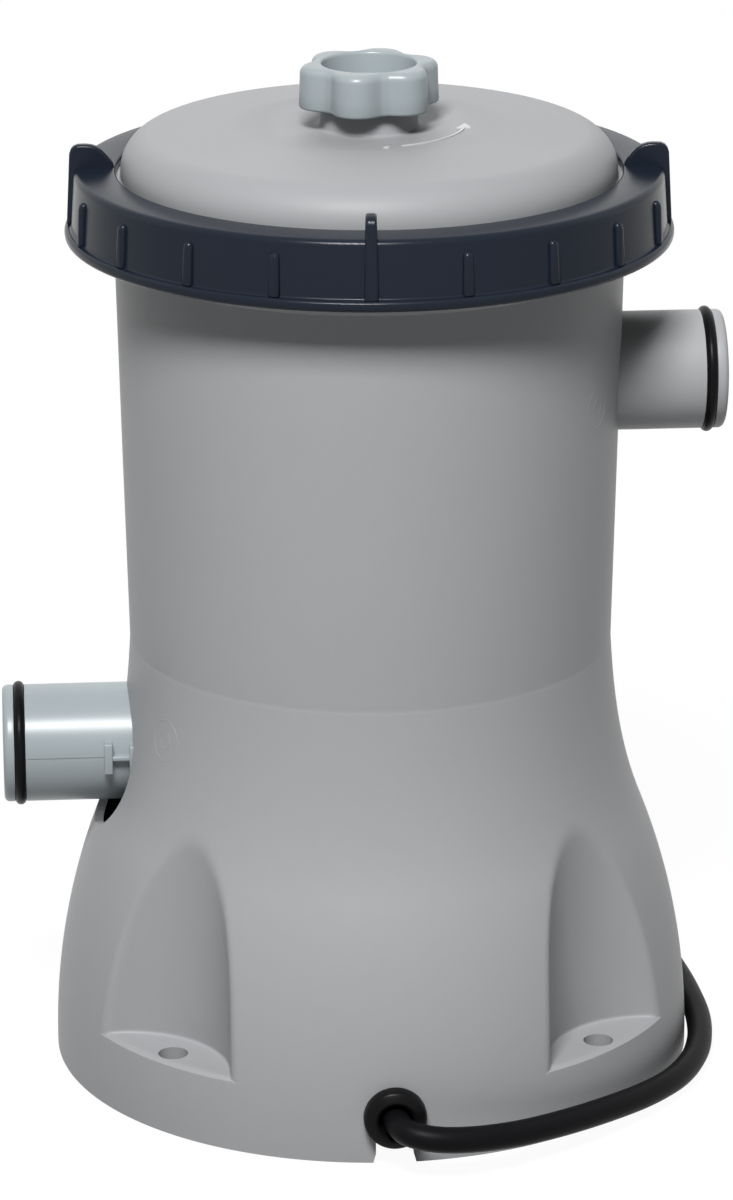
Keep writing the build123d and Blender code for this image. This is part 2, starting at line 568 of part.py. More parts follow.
with BuildPart() as motor_case:
    with BuildSketch(Plane.XY.offset(CASE_LO)):
        with Locations((0, CASE_MID_Y)):
            RectangleRounded(2 * CASE_X, CASE_L, 8)
    extrude(amount=COVER_LO - CASE_LO)
    with BuildSketch(Plane.XY.offset(CASE_LO + WALL)):
        with Locations((0, CASE_MID_Y)):
            RectangleRounded(2 * (CASE_X - WALL), CASE_L - 2 * WALL, 5.5)
    extrude(amount=COVER_LO - CASE_LO, mode=Mode.SUBTRACT)
    with BuildSketch(Plane.XY.offset(CASE_LO + WALL)):
        with Locations((0, CASE_MID_Y)):
            with GridLocations(2 * CASE_SCREW_X, CASE_SCREW_PITCH, 2, 2):
                Circle(3.6)
    extrude(amount=COVER_LO - CASE_LO - WALL)
    with BuildSketch(Plane.XY.offset(CASE_LO + WALL)):
        with Locations((-20, -8), (20, -8), (-20, 45), (20, 45)):
            Circle(3)
    extrude(amount=CORE_LO - CASE_LO - WALL)
    with BuildSketch(Plane.XY.offset(COVER_LO)):
        with Locations((0, CASE_MID_Y)):
            with GridLocations(2 * CASE_SCREW_X, CASE_SCREW_PITCH, 2, 2):
                Circle(CASE_SCREW_R + RUN_GAP)
    extrude(amount=-CASE_SCREW_L, mode=Mode.SUBTRACT)
    with BuildSketch(Plane.XZ.offset(-CASE_Y_LO - WALL)):
        with Locations((0, LEAD_IN_Z)):
            Circle(CABLE_R + RUN_GAP)
    extrude(amount=WALL, mode=Mode.SUBTRACT)
motor_case.part.label = "motor_case"
export_step(motor_case.part, "parts/motor_case.step")

with BuildPart() as motor_case_cover:
    with BuildSketch(Plane.XY.offset(COVER_LO)):
        with Locations((0, CASE_MID_Y)):
            RectangleRounded(2 * CASE_X, CASE_L, 8)
            with GridLocations(2 * CASE_SCREW_X, CASE_SCREW_PITCH, 2, 2):
                Circle(CASE_SCREW_R + SCREW_GAP, mode=Mode.SUBTRACT)
        Circle(CAN_R + 0.2, mode=Mode.SUBTRACT)
    extrude(amount=COVER_HI - COVER_LO)
motor_case_cover.part.label = "motor_case_cover"
export_step(motor_case_cover.part, "parts/motor_case_cover.step")

with BuildPart() as motor_case_screws:
    with BuildSketch(Plane.XY.offset(COVER_HI)):
        with Locations((0, CASE_MID_Y)):
            with GridLocations(2 * CASE_SCREW_X, CASE_SCREW_PITCH, 2, 2):
                Circle(2.8)
    extrude(amount=1.8)
    with BuildSketch(Plane.XY.offset(COVER_HI)):
        with Locations((0, CASE_MID_Y)):
            with GridLocations(2 * CASE_SCREW_X, CASE_SCREW_PITCH, 2, 2):
                Circle(CASE_SCREW_R)
    extrude(amount=-CASE_SCREW_L)
motor_case_screws.part.label = "motor_case_screws"
export_step(motor_case_screws.part, "parts/motor_case_screws.step")

# ======================================================================================================
# Base plate, and the way in for the mains cable
# ======================================================================================================
with BuildPart() as base_plate:
    with BuildSketch():
        Circle(FOOT_R - WALL - 0.3)
        with PolarLocations(MOUNT_AT, 4, start_angle=45):
            Circle(MOUNT_BOSS_R + 0.4, mode=Mode.SUBTRACT)
    extrude(amount=BASE_T)
    # way in for the cable, open at the edge under the housing's notch
    with BuildSketch():
        with Locations((0, CLAMP_Y - CLAMP_W / 2 - BASE_SLOT_L / 2)):
            Rectangle(BASE_SLOT_W, BASE_SLOT_L)
    extrude(amount=BASE_T, mode=Mode.SUBTRACT)
    with BuildSketch(Plane.XY.offset(BASE_T)):
        with Locations((0, CASE_MID_Y)):
            with GridLocations(52, 56, 2, 2):
                Circle(5)
    extrude(amount=CASE_LO - BASE_T)
    with BuildSketch(Plane.XY.offset(BASE_T)):
        with Locations((0, CLAMP_Y)):
            Rectangle(2 * CABLE_R, CLAMP_W)
    extrude(amount=CABLE_Z - CABLE_R - BASE_T)
    with BuildSketch(Plane.XY.offset(BASE_T)):
        with Locations((-CLAMP_EAR, CLAMP_Y), (CLAMP_EAR, CLAMP_Y)):
            Circle(3.6)
    extrude(amount=CLAMP_Z - BASE_T)
    with BuildSketch(Plane.XY.offset(CLAMP_Z)):
        with Locations((-CLAMP_EAR, CLAMP_Y), (CLAMP_EAR, CLAMP_Y)):
            Circle(CLAMP_SCREW_R + RUN_GAP)
    extrude(amount=-6.5, mode=Mode.SUBTRACT)
    with BuildSketch():
        with PolarLocations(BASE_SCREW_AT, 4, start_angle=BASE_SCREW_START):
            Circle(BASE_SCREW_R + SCREW_GAP)
    extrude(amount=BASE_T, mode=Mode.SUBTRACT)
    with BuildSketch():
        with PolarLocations(BASE_SCREW_AT, 4, start_angle=BASE_SCREW_START):
            Circle(3.4)
    extrude(amount=2.2, mode=Mode.SUBTRACT)
base_plate.part.label = "base_plate"
export_step(base_plate.part, "parts/base_plate.step")

with BuildPart() as base_plate_screws:
    with BuildSketch(Plane.XY.offset(0.3)):
        with PolarLocations(BASE_SCREW_AT, 4, start_angle=BASE_SCREW_START):
            Circle(3.1)
    extrude(amount=1.9)
    with BuildSketch(Plane.XY.offset(2.2)):
        with PolarLocations(BASE_SCREW_AT, 4, start_angle=BASE_SCREW_START):
            Circle(BASE_SCREW_R)
    extrude(amount=13)
base_plate_screws.part.label = "base_plate_screws"
export_step(base_plate_screws.part, "parts/base_plate_screws.step")

# grommet: bead outside, neck in the notch, flange inside; the bead's mouth is wider than the cable
with BuildPart() as cable_grommet:
    with BuildSketch(Plane.YZ):
        with BuildLine():
            Polyline((BEAD_BACK, CABLE_Z + CABLE_R + GROMMET_GAP), (BEAD_BACK, CABLE_Z + BEAD_R))
            ThreePointArc((BEAD_BACK, CABLE_Z + BEAD_R), (BEAD_FRONT + 1.0, CABLE_Z + 7.4),
                          (BEAD_FRONT, CABLE_Z + 5.4))
            Polyline((BEAD_FRONT, CABLE_Z + 5.4), (BEAD_FRONT + 0.5, CABLE_Z + 4.75),
                     (BEAD_BACK - 1.2, CABLE_Z + 4.4), (BEAD_BACK - 0.4, CABLE_Z + CABLE_R + GROMMET_GAP),
                     (BEAD_BACK, CABLE_Z + CABLE_R + GROMMET_GAP))
        make_face()
    revolve(axis=Axis((0, 0, CABLE_Z), (0, 1, 0)))
    for start, end, outer in ((BEAD_BACK, -83.6, 4.9), (-83.6, -81.2, 7.4)):
        with BuildSketch(Plane.XZ.offset(-start)):
            with Locations((0, CABLE_Z)):
                ring_sketch(outer, CABLE_R + GROMMET_GAP)
        extrude(amount=start - end)
cable_grommet.part.label = "cable_grommet"
export_step(cable_grommet.part, "parts/cable_grommet.step")

with BuildPart() as cable_clamp:
    with BuildSketch(Plane.XZ.offset(-CLAMP_Y + CLAMP_W / 2)):
        with Locations((0, (CLAMP_Z + CLAMP_TOP) / 2)):
            Rectangle(11.2, CLAMP_TOP - CLAMP_Z)
        with Locations((0, CLAMP_Z + CLAMP_T / 2)):
            Rectangle(2 * CLAMP_EAR + 7, CLAMP_T)
        with Locations((0, CABLE_Z)):
            Circle(CABLE_R + 0.05, mode=Mode.SUBTRACT)
        with Locations((0, (CLAMP_Z + CABLE_Z) / 2)):
            Rectangle(2 * CABLE_R + 0.1, CABLE_Z - CLAMP_Z, mode=Mode.SUBTRACT)
    extrude(amount=-CLAMP_W)
    with BuildSketch(Plane.XY.offset(CLAMP_Z)):
        with Locations((-CLAMP_EAR, CLAMP_Y), (CLAMP_EAR, CLAMP_Y)):
            Circle(CLAMP_SCREW_R + SCREW_GAP)
    extrude(amount=CLAMP_T, mode=Mode.SUBTRACT)
cable_clamp.part.label = "cable_clamp"
export_step(cable_clamp.part, "parts/cable_clamp.step")

with BuildPart() as clamp_screws:
    with BuildSketch(Plane.XY.offset(CLAMP_Z + CLAMP_T)):
        with Locations((-CLAMP_EAR, CLAMP_Y), (CLAMP_EAR, CLAMP_Y)):
            Circle(2.5)
    extrude(amount=1.6)
    with BuildSketch(Plane.XY.offset(CLAMP_Z + CLAMP_T)):
        with Locations((-CLAMP_EAR, CLAMP_Y), (CLAMP_EAR, CLAMP_Y)):
            Circle(CLAMP_SCREW_R)
    extrude(amount=-8.5)
clamp_screws.part.label = "clamp_screws"
export_step(clamp_screws.part, "parts/clamp_screws.step")

with BuildPart() as inner_lead:
    add(cable("inner_lead", INNER_ROUTE, CABLE_R)[0])
inner_lead.part.label = "inner_lead"
export_step(inner_lead.part, "parts/inner_lead.step")

# ======================================================================================================
# Lid and locking ring
# ======================================================================================================


def dome_z(radius, drop=0.0):
    """Height of the dome, or of a surface drop below it, at a radius."""
    return DOME_TOP - DOME_R + ((DOME_R - drop) ** 2 - radius ** 2) ** 0.5


corner_lean = (LID_R - LID_EDGE_R) / (DOME_R - LID_EDGE_R)    # sine of the dome's slope at its edge
SHOULDER_OUT_R = corner_lean * DOME_R
SHOULDER_IN_R = corner_lean * (DOME_R - LID_WALL)

with BuildPart() as lid_dome:
    with BuildSketch(Plane.XZ):
        with BuildLine():
            Polyline((LID_R, LID_EDGE_Z), (LID_R, LID_LIP), (LID_LIP_R, LID_LIP), (LID_LIP_R, LID_LO),
                     (LID_R - LID_WALL, LID_LO), (LID_R - LID_WALL, LID_EDGE_Z))
            TangentArc((LID_R - LID_WALL, LID_EDGE_Z), (SHOULDER_IN_R, dome_z(SHOULDER_IN_R, LID_WALL)),
                       tangent=(0, 1))
            ThreePointArc((SHOULDER_IN_R, dome_z(SHOULDER_IN_R, LID_WALL)), (38, dome_z(38, LID_WALL + 0.3)),
                          (VALVE_SEAT_R, DISH_Z - LID_WALL))
            Polyline((VALVE_SEAT_R, DISH_Z - LID_WALL), (VALVE_SEAT_R, PLUG_LO), (VALVE_BORE_R, PLUG_LO),
                     (VALVE_BORE_R, NOZZLE_TOP), (NOZZLE_R, NOZZLE_TOP), (NOZZLE_R, DISH_Z))
            ThreePointArc((NOZZLE_R, DISH_Z), (24, DISH_Z + 0.55), (DISH_R, dome_z(DISH_R)))
            ThreePointArc((DISH_R, dome_z(DISH_R)), (45, dome_z(45)),
                          (SHOULDER_OUT_R, dome_z(SHOULDER_OUT_R)))
            TangentArc((LID_R, LID_EDGE_Z), (SHOULDER_OUT_R, dome_z(SHOULDER_OUT_R)), tangent=(0, 1))
        make_face()
    revolve(axis=Axis.Z)
lid_dome.part.label = "lid_dome"
export_step(lid_dome.part, "parts/lid_dome.step")

with BuildPart() as lid_seal:
    with BuildSketch(Plane.XY.offset(RIM_Z - SEAL_DEPTH)):
        ring_sketch(SEAL_R_OUT - 0.1, SEAL_R_IN + 0.1)
    extrude(amount=LID_LO - RIM_Z + SEAL_DEPTH)
lid_seal.part.label = "lid_seal"
export_step(lid_seal.part, "parts/lid_seal.step")

with BuildPart() as tall_fin:
    with BuildSketch(Plane.XZ):
        with BuildLine():
            Polyline((RING_R_HI - 1, RING_LO + RING_FLANGE_T - 0.3), (FIN_R, RING_LO + RING_FLANGE_T - 0.3),
                     (FIN_R - 0.9, FIN_TOP - 2))
            TangentArc((FIN_R - 0.9, FIN_TOP - 2), (FIN_R - 3.1, FIN_TOP), tangent=(-0.04, 1))
            Line((FIN_R - 3.1, FIN_TOP), (FIN_CROWN_R, FIN_TOP))
            ThreePointArc((FIN_CROWN_R, FIN_TOP), (FIN_CROWN_R - 4.6, FIN_TOP - 1.5),
                          (RING_EYE_R + 0.3, RING_TOP))
            Polyline((RING_EYE_R + 0.3, RING_TOP), (RING_EYE_R + 0.3, RING_TOP - 1),
                     (RING_R_HI - 1, RING_TOP - 1), (RING_R_HI - 1, RING_LO + RING_FLANGE_T - 0.3))
        make_face()
    extrude(amount=FIN_T / 2, both=True)

with BuildPart() as short_rib:
    with BuildSketch(Plane.XZ):
        with BuildLine():
            Polyline((RING_R_HI - 1, RIB_TOP), (RING_R_HI - 1, RING_LO + RING_FLANGE_T - 0.3),
                     (RIB_R + 0.2, RING_LO + RING_FLANGE_T - 0.3), (RIB_R - 0.4, RIB_TOP - 1.4))
            ThreePointArc((RIB_R - 0.4, RIB_TOP - 1.4), (RIB_R - 0.85, RIB_TOP - 0.4),
                          (RING_R_HI - 0.1, RIB_TOP))
            Line((RING_R_HI - 0.1, RIB_TOP), (RING_R_HI - 1, RIB_TOP))
        make_face()
    extrude(amount=RIB_T / 2, both=True)

with BuildPart() as locking_ring:
    with BuildSketch(Plane.XZ):
        with BuildLine():
            Polyline((RING_R_LO, RING_LO + RING_FLANGE_T), (RING_FLANGE_R, RING_LO + RING_FLANGE_T),
                     (RING_FLANGE_R, RING_LO), (RING_IN_R, RING_LO), (RING_IN_R, LID_LIP + 0.3),
                     (RING_EYE_R, LID_LIP + 0.3), (RING_EYE_R, RING_TOP), (RING_R_HI - 1.5, RING_TOP))
            TangentArc((RING_R_HI - 1.5, RING_TOP), (RING_R_HI, RING_TOP - 1.5), tangent=(1, 0))
            Line((RING_R_HI, RING_TOP - 1.5), (RING_R_LO, RING_LO + RING_FLANGE_T))
        make_face()
    revolve(axis=Axis.Z)
    # thread crests inside, below each crest of the neck
    with BuildSketch(Plane.XZ):
        for crest_z in THREAD_ZS:
            with Locations((0, crest_z - THREAD_GRIP)):
                Polygon((RING_IN_R + THREAD_SINK, -1.3), (RING_IN_R, -1.3), (RING_THREAD_R, -0.4),
                        (RING_THREAD_R, 0.4), (RING_IN_R, 1.3), (RING_IN_R + THREAD_SINK, 1.3), align=None)
    revolve(axis=Axis.Z)
    with PolarLocations(0, 4, start_angle=FIN_START):
        add(tall_fin.part)
    for step in (1, 2, 3, 4):
        with PolarLocations(0, 4, start_angle=FIN_START + step * RING_PITCH):
            add(short_rib.part)
locking_ring.part.label = "locking_ring"
export_step(locking_ring.part, "parts/locking_ring.step")

# ======================================================================================================
# Air valve: a knob that screws the sealing plug up and down in the lid's nozzle
# ======================================================================================================
with BuildPart() as air_valve_knob:
    with BuildSketch(Plane.XY.offset(KNOB_LO)) as lobed:
        Circle(KNOB_VALLEY_R)
        with PolarLocations(KNOB_R - LOBE_R, LOBES, start_angle=LOBE_START):
            Circle(LOBE_R)
        fillet(lobed.vertices(), radius=5)
    extrude(amount=KNOB_HI - KNOB_LO)
    fillet(air_valve_knob.faces().sort_by(Axis.Z)[-1].edges(), radius=2.2)
    with BuildSketch(Plane.XY.offset(KNOB_HI)):
        Circle(CUP_R)
    extrude(amount=CUP_FLOOR - KNOB_HI, mode=Mode.SUBTRACT)
    with BuildSketch(Plane.XY.offset(KNOB_LO)):
        Circle(NOZZLE_R + 0.5)
    extrude(amount=NOZZLE_TOP + 0.4 - KNOB_LO, mode=Mode.SUBTRACT)
    with BuildSketch(Plane.XY.offset(KNOB_LO)):
        Circle(VALVE_BORE_R)
    extrude(amount=PLUG_HI + 0.1 - KNOB_LO, mode=Mode.SUBTRACT)
air_valve_knob.part.label = "air_valve_knob"
export_step(air_valve_knob.part, "parts/air_valve_knob.step")

with BuildPart() as air_valve_plug:
    with BuildSketch(Plane.XZ):
        with BuildLine():
            Polyline((0, PLUG_LO), (PLUG_R - 0.5, PLUG_LO), (PLUG_R, PLUG_LO + 0.5), (PLUG_R, PLUG_LO + 1.4),
                     (PLUG_R - 1.3, PLUG_LO + 1.4), (PLUG_R - 1.3, PLUG_LO + 2.8), (PLUG_R, PLUG_LO + 2.8),
                     (PLUG_R, PLUG_HI), (0, PLUG_HI), close=True)
        make_face()
    revolve(axis=Axis.Z)
air_valve_plug.part.label = "air_valve_plug"
export_step(air_valve_plug.part, "parts/air_valve_plug.step")

with BuildPart() as air_valve_ring:
    with BuildSketch(Plane.XZ):
        with Locations((PLUG_R - 0.65, PLUG_LO + 2.1)):
            Circle(0.64)
    revolve(axis=Axis.Z)
air_valve_ring.part.label = "air_valve_ring"
export_step(air_valve_ring.part, "parts/air_valve_ring.step")

# ======================================================================================================
# Filter cartridge
# ======================================================================================================


def cartridge_cap(face_z, towards_middle):
    """End cap with a lip outside and one inside; towards_middle is +1 for the bottom cap."""
    with BuildPart() as cap:
        for depth, outer, inner in ((CAP_T, CART_R, CART_CORE_R - 1.6), (CAP_T + 3, CART_R, CART_R - 1.2)):
            with BuildSketch(Plane.XY.offset(face_z)):
                ring_sketch(outer, inner)
            extrude(amount=towards_middle * depth)
    return cap.part


with BuildPart() as cartridge_top_cap:
    add(cartridge_cap(CART_HI, -1))
cartridge_top_cap.part.label = "cartridge_top_cap"
export_step(cartridge_top_cap.part, "parts/cartridge_top_cap.step")

with BuildPart() as cartridge_bottom_cap:
    add(cartridge_cap(CART_LO, 1))
cartridge_bottom_cap.part.label = "cartridge_bottom_cap"
export_step(cartridge_bottom_cap.part, "parts/cartridge_bottom_cap.step")

MEDIA_LO, MEDIA_L = CART_LO + CAP_T, CART_HI - CART_LO - 2 * CAP_T

with BuildPart() as cartridge_pleats:
    fold_points = []
    for fold in range(2 * PLEATS):
        bearing = pi * fold / PLEATS
        fold_r = PLEAT_R_IN if fold % 2 else PLEAT_R_OUT
        fold_points.append((fold_r * cos(bearing), fold_r * sin(bearing)))
    with BuildSketch(Plane.XY.offset(MEDIA_LO)):
        with BuildLine():
            Polyline(*fold_points, close=True)
        make_face()
        Circle(CART_CORE_R + 3, mode=Mode.SUBTRACT)
    extrude(amount=MEDIA_L)
cartridge_pleats.part.label = "cartridge_pleats"
export_step(cartridge_pleats.part, "parts/cartridge_pleats.step")

with BuildPart() as cartridge_core:
    with BuildSketch(Plane.XY.offset(MEDIA_LO)):
        ring_sketch(CART_CORE_R + 1.8, CART_CORE_R)
    extrude(amount=MEDIA_L)
    for side in (Plane.YZ, Plane.XZ):
        with BuildSketch(side):
            with Locations((0, MEDIA_LO + MEDIA_L / 2)):
                with GridLocations(1, SLOT_PITCH, 1, SLOT_ROWS):
                    SlotOverall(SLOT_L, SLOT_W)
        extrude(amount=CART_CORE_R + 6, both=True, mode=Mode.SUBTRACT)
cartridge_core.part.label = "cartridge_core"
export_step(cartridge_core.part, "parts/cartridge_core.step")

# ======================================================================================================
# Mains lead: loose stretch, put-away coil, plug
# ======================================================================================================
lead_tube, lead_length = cable("lead", LEAD_ROUTE, CABLE_R)
tail_tube, tail_length = cable("tail", TAIL_ROUTE, CABLE_R)
with BuildPart() as power_cord:
    add(lead_tube)
    add(tail_tube)
power_cord.part.label = "power_cord"
export_step(power_cord.part, "parts/power_cord.step")
coil_length = COIL_TURNS * 2 * pi * COIL_MEAN_R
print("lead in all", round(lead_length + coil_length + tail_length))

with BuildPart() as power_cord_coil:
    with BuildSketch(Plane.XZ.offset(-COIL_Y)):
        with Locations((COIL_X + COIL_MEAN_R, COIL_HALF)):
            RectangleRounded(2 * COIL_HALF, 2 * COIL_HALF, CABLE_R)
    revolve(axis=Axis((COIL_X, COIL_Y, 0), (0, 0, 1)))
power_cord_coil.part.label = "power_cord_coil"
export_step(power_cord_coil.part, "parts/power_cord_coil.step")

plug_plane = Plane(PLUG_START, x_dir=Vector(PLUG_HEADING).cross(Vector(0, 0, 1)), z_dir=PLUG_HEADING)

with BuildPart() as mains_plug:
    with BuildSketch(plug_plane):
        Circle(CABLE_R + 1.2)
    with BuildSketch(plug_plane.offset(PLUG_TAIL_L)):
        RectangleRounded(13, 10.5, 4.5)
    loft()
    with BuildSketch(plug_plane.offset(PLUG_TAIL_L)):
        RectangleRounded(15, 11.5, 4.5)
    with BuildSketch(plug_plane.offset(PLUG_TAIL_L + PLUG_TAPER_L)):
        RectangleRounded(PLUG_BODY_W, PLUG_BODY_T, 6.0)
    loft()
    with BuildSketch(plug_plane.offset(PLUG_TAIL_L + PLUG_TAPER_L)):
        RectangleRounded(PLUG_BODY_W, PLUG_BODY_T, 6.0)
    extrude(amount=PLUG_BODY_L - PLUG_TAPER_L)
mains_plug.part.label = "mains_plug"
export_step(mains_plug.part, "parts/mains_plug.step")

with BuildPart() as plug_pins:
    with BuildSketch(plug_plane.offset(PLUG_TAIL_L + PLUG_BODY_L)):
        with Locations((-PLUG_PIN_GAP / 2, 0), (PLUG_PIN_GAP / 2, 0)):
            Circle(PLUG_PIN_R)
    extrude(amount=PLUG_PIN_L)
    fillet(plug_pins.faces().sort_by(Axis.Y)[-2:].edges(), radius=1.2)
plug_pins.part.label = "plug_pins"
export_step(plug_pins.part, "parts/plug_pins.step")
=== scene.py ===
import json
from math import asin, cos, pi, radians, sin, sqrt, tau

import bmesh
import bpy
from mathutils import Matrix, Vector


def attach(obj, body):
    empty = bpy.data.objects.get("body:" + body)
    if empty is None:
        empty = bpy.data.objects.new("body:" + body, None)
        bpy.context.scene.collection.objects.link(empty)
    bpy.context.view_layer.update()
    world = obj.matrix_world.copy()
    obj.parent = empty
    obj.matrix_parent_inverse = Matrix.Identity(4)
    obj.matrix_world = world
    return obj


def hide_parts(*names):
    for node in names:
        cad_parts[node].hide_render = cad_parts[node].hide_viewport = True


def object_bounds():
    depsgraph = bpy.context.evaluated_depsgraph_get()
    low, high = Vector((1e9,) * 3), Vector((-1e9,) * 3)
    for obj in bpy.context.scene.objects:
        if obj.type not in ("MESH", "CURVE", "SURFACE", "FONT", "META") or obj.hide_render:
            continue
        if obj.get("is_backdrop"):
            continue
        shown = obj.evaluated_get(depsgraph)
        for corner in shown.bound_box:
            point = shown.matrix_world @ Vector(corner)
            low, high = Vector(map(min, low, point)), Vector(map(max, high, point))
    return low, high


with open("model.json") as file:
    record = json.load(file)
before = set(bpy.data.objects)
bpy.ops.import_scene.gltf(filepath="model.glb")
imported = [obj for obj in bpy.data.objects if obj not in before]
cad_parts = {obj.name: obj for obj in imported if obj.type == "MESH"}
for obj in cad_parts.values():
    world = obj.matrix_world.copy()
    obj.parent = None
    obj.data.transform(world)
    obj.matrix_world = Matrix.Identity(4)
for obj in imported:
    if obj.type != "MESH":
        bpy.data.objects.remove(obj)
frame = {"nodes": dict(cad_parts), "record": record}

# %% [markdown]
# # A filter pump for a small above-ground pool
#
# The real pump is a stack of plastic mouldings: a flared foot that holds the motor, a tall tank with a paper
# cartridge in it, a dark locking ring, and a lid with an air valve. The packed model gives every size and
# place. This script dresses it: soft edges, fine surface, real finishes. It works in metres, with the origin
# on the floor under the middle of the tank, and the front towards -Y. Outlines are written in millimetres,
# and MM turns them into metres where they become a mesh.

CAD_LOW, CAD_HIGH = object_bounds()
MM = 0.001
for packed in bpy.data.materials:
    packed.name = "packed_" + packed.name          # leaves the slots' names free for the finishes below

# %% [markdown]
# ## The camera
#
# A long lens from nearly a metre and a half away keeps the upright lines nearly upright. The camera stands
# slightly left of the front and looks down at under 19 degrees. Its turn is built from three plain
# rotations, so that each can be read and changed alone.

# %% Make the camera
CAMERA_AT = Vector((-0.0931, -1.3168, 0.5755))
YAW, PITCH, ROLL = radians(-4.0), radians(90 - 18.75), radians(-0.15)


def linked(name, data):
    """A new object that shows some data, put into the scene."""
    made = bpy.data.objects.new(name, data)
    bpy.context.scene.collection.objects.link(made)
    return made


camera_data = bpy.data.cameras.new("camera")
camera_data.sensor_width = 36.0
camera_data.lens = 153.4
camera = linked("camera", camera_data)
turn = Matrix.Rotation(YAW, 4, "Z") @ Matrix.Rotation(PITCH, 4, "X") @ Matrix.Rotation(ROLL, 4, "Z")
camera.matrix_world = Matrix.Translation(CAMERA_AT) @ turn
bpy.context.scene.camera = camera
print("camera", round((CAMERA_AT - (CAD_LOW + CAD_HIGH) / 2).length, 2), "m from the middle")

# %% [markdown]
# ## Numbers as nodes
#
# Shader maths is easier to read as a formula than as a web of nodes. This small class wraps an output
# socket. Each Python operator on it adds one Math node and gives back the result, wrapped again.


# %% A value that Python can calculate with
class Value:
    """An output socket of a shader node, for use in formulas."""

    def __init__(self, socket):
        self.socket = socket

    def maths(self, operation, first, second):
        node = self.socket.node.id_data.nodes.new("ShaderNodeMath")
        node.operation = operation
        for place, value in enumerate((first, second)):
            feed(node.inputs[place], value)
        return Value(node.outputs[0])

    def __add__(self, other):
        return self.maths("ADD", self, other)

    def __radd__(self, other):
        return self.maths("ADD", other, self)

    def __sub__(self, other):
        return self.maths("SUBTRACT", self, other)

    def __rsub__(self, other):
        return self.maths("SUBTRACT", other, self)

    def __mul__(self, other):
        return self.maths("MULTIPLY", self, other)

    def __rmul__(self, other):
        return self.maths("MULTIPLY", other, self)

    def __truediv__(self, other):
        return self.maths("DIVIDE", self, other)

    def __pow__(self, other):
        return self.maths("POWER", self, other)


def feed(socket, value):
    """Give a socket a number, a colour or another node's result."""
    if isinstance(value, Value):
        socket.id_data.links.new(value.socket, socket)
    else:
        socket.default_value = value


print("Value:", Value.__doc__)

# %% [markdown]
# A finish is one material. `Finish.node` adds any node: settings first, because some of them change which
# sockets the node has, and then the values of its sockets. Every pattern reads Object coordinates, so it
# stays where it is on the piece when the piece moves.


# %% A finish and its nodes
class Finish:
    """One material with a Principled shader."""

    def __init__(self, name, **constants):
        self.material = bpy.data.materials.new(name)
        self.material.use_nodes = True
        self.tree = self.material.node_tree
        self.shader = self.tree.nodes["Principled BSDF"]
        self.place = self.node("ShaderNodeTexCoord", output="Object")
        for socket, value in constants.items():
            self.set(socket.replace("_", " "), value)

    def node(self, kind, settings=None, values=None, output=0):
        node = self.tree.nodes.new(kind)
        for name, value in (settings or {}).items():
            setattr(node, name, value)
        for name, value in (values or {}).items():
            feed(node.inputs[name], value)
        return Value(node.outputs[output])

    def set(self, socket, value):
        feed(self.shader.inputs[socket], value)

    def noise(self, per_metre, detail, roughness=0.5):
        return self.node("ShaderNodeTexNoise", None, {
            "Vector": self.place, "Scale": per_metre, "Detail": detail, "Roughness": roughness}, "Fac")

    def mix(self, factor, first, second):
        """One colour for 0 and the other for 1."""
        node = self.tree.nodes.new("ShaderNodeMix")
        node.data_type = "RGBA"
        # the factor and the two colours; the sockets between them are for numbers and vectors
        for place, value in ((0, factor), (6, first), (7, second)):
            feed(node.inputs[place], value)
        return Value(node.outputs[2])

    def bump(self, height, distance):
        self.set("Normal", self.node("ShaderNodeBump", None, {"Height": height, "Distance": distance}))


print("Finish:", Finish.__doc__)

# %% [markdown]
# Colours are written as the 0 to 255 values of a colour chart, which a person can compare with a sample.
# Shaders want linear light, so one function converts them, and another makes a lighter or darker tint.


# %% Colours and their tints
def colour(red, green, blue):
    """A colour from the 0 to 255 values of a colour chart, as the linear light that shaders use."""
    linear = [((part / 255 + 0.055) / 1.055) ** 2.4 for part in (red, green, blue)]
    return (*linear, 1.0)


def tint(base, share):
    """The colour with this share of its light."""
    return (*(min(1.0, part * share) for part in base[:3]), 1.0)


print("middle grey is", round(colour(128, 128, 128)[0], 3), "in linear light")

# %% [markdown]
# ## Moulded plastics
#
# Nearly everything is moulded plastic. A mould leaves three things on it: a satin grain finer than half a
# millimetre, a slow waviness where thick and thin places shrank differently, and a faint unevenness of tone.
# An image texture could hold all that, but noise has no seams and stays fine from near by. One function
# makes the three, at strengths that each moulding sets.


# %% The mouldings' finishes
def moulded_plastic(name, base, rough=0.42, grain=0.00002, tone=0.05, shine=0.22):
    finish = Finish(name, IOR=1.49, Specular_IOR_Level=shine)
    slow = finish.noise(14.0, 4.0)
    speck = finish.noise(900.0, 2.0)
    finish.set("Base Color", finish.mix(slow * 0.8 + speck * 0.2, tint(base, 1 - tone), tint(base, 1 + tone)))
    finish.set("Roughness", rough - 0.06 + slow * 0.08 + speck * 0.05)
    fine = finish.noise(2400.0, 2.0, 0.6)
    finish.bump(fine + slow * 6.0, grain)
    return finish.material


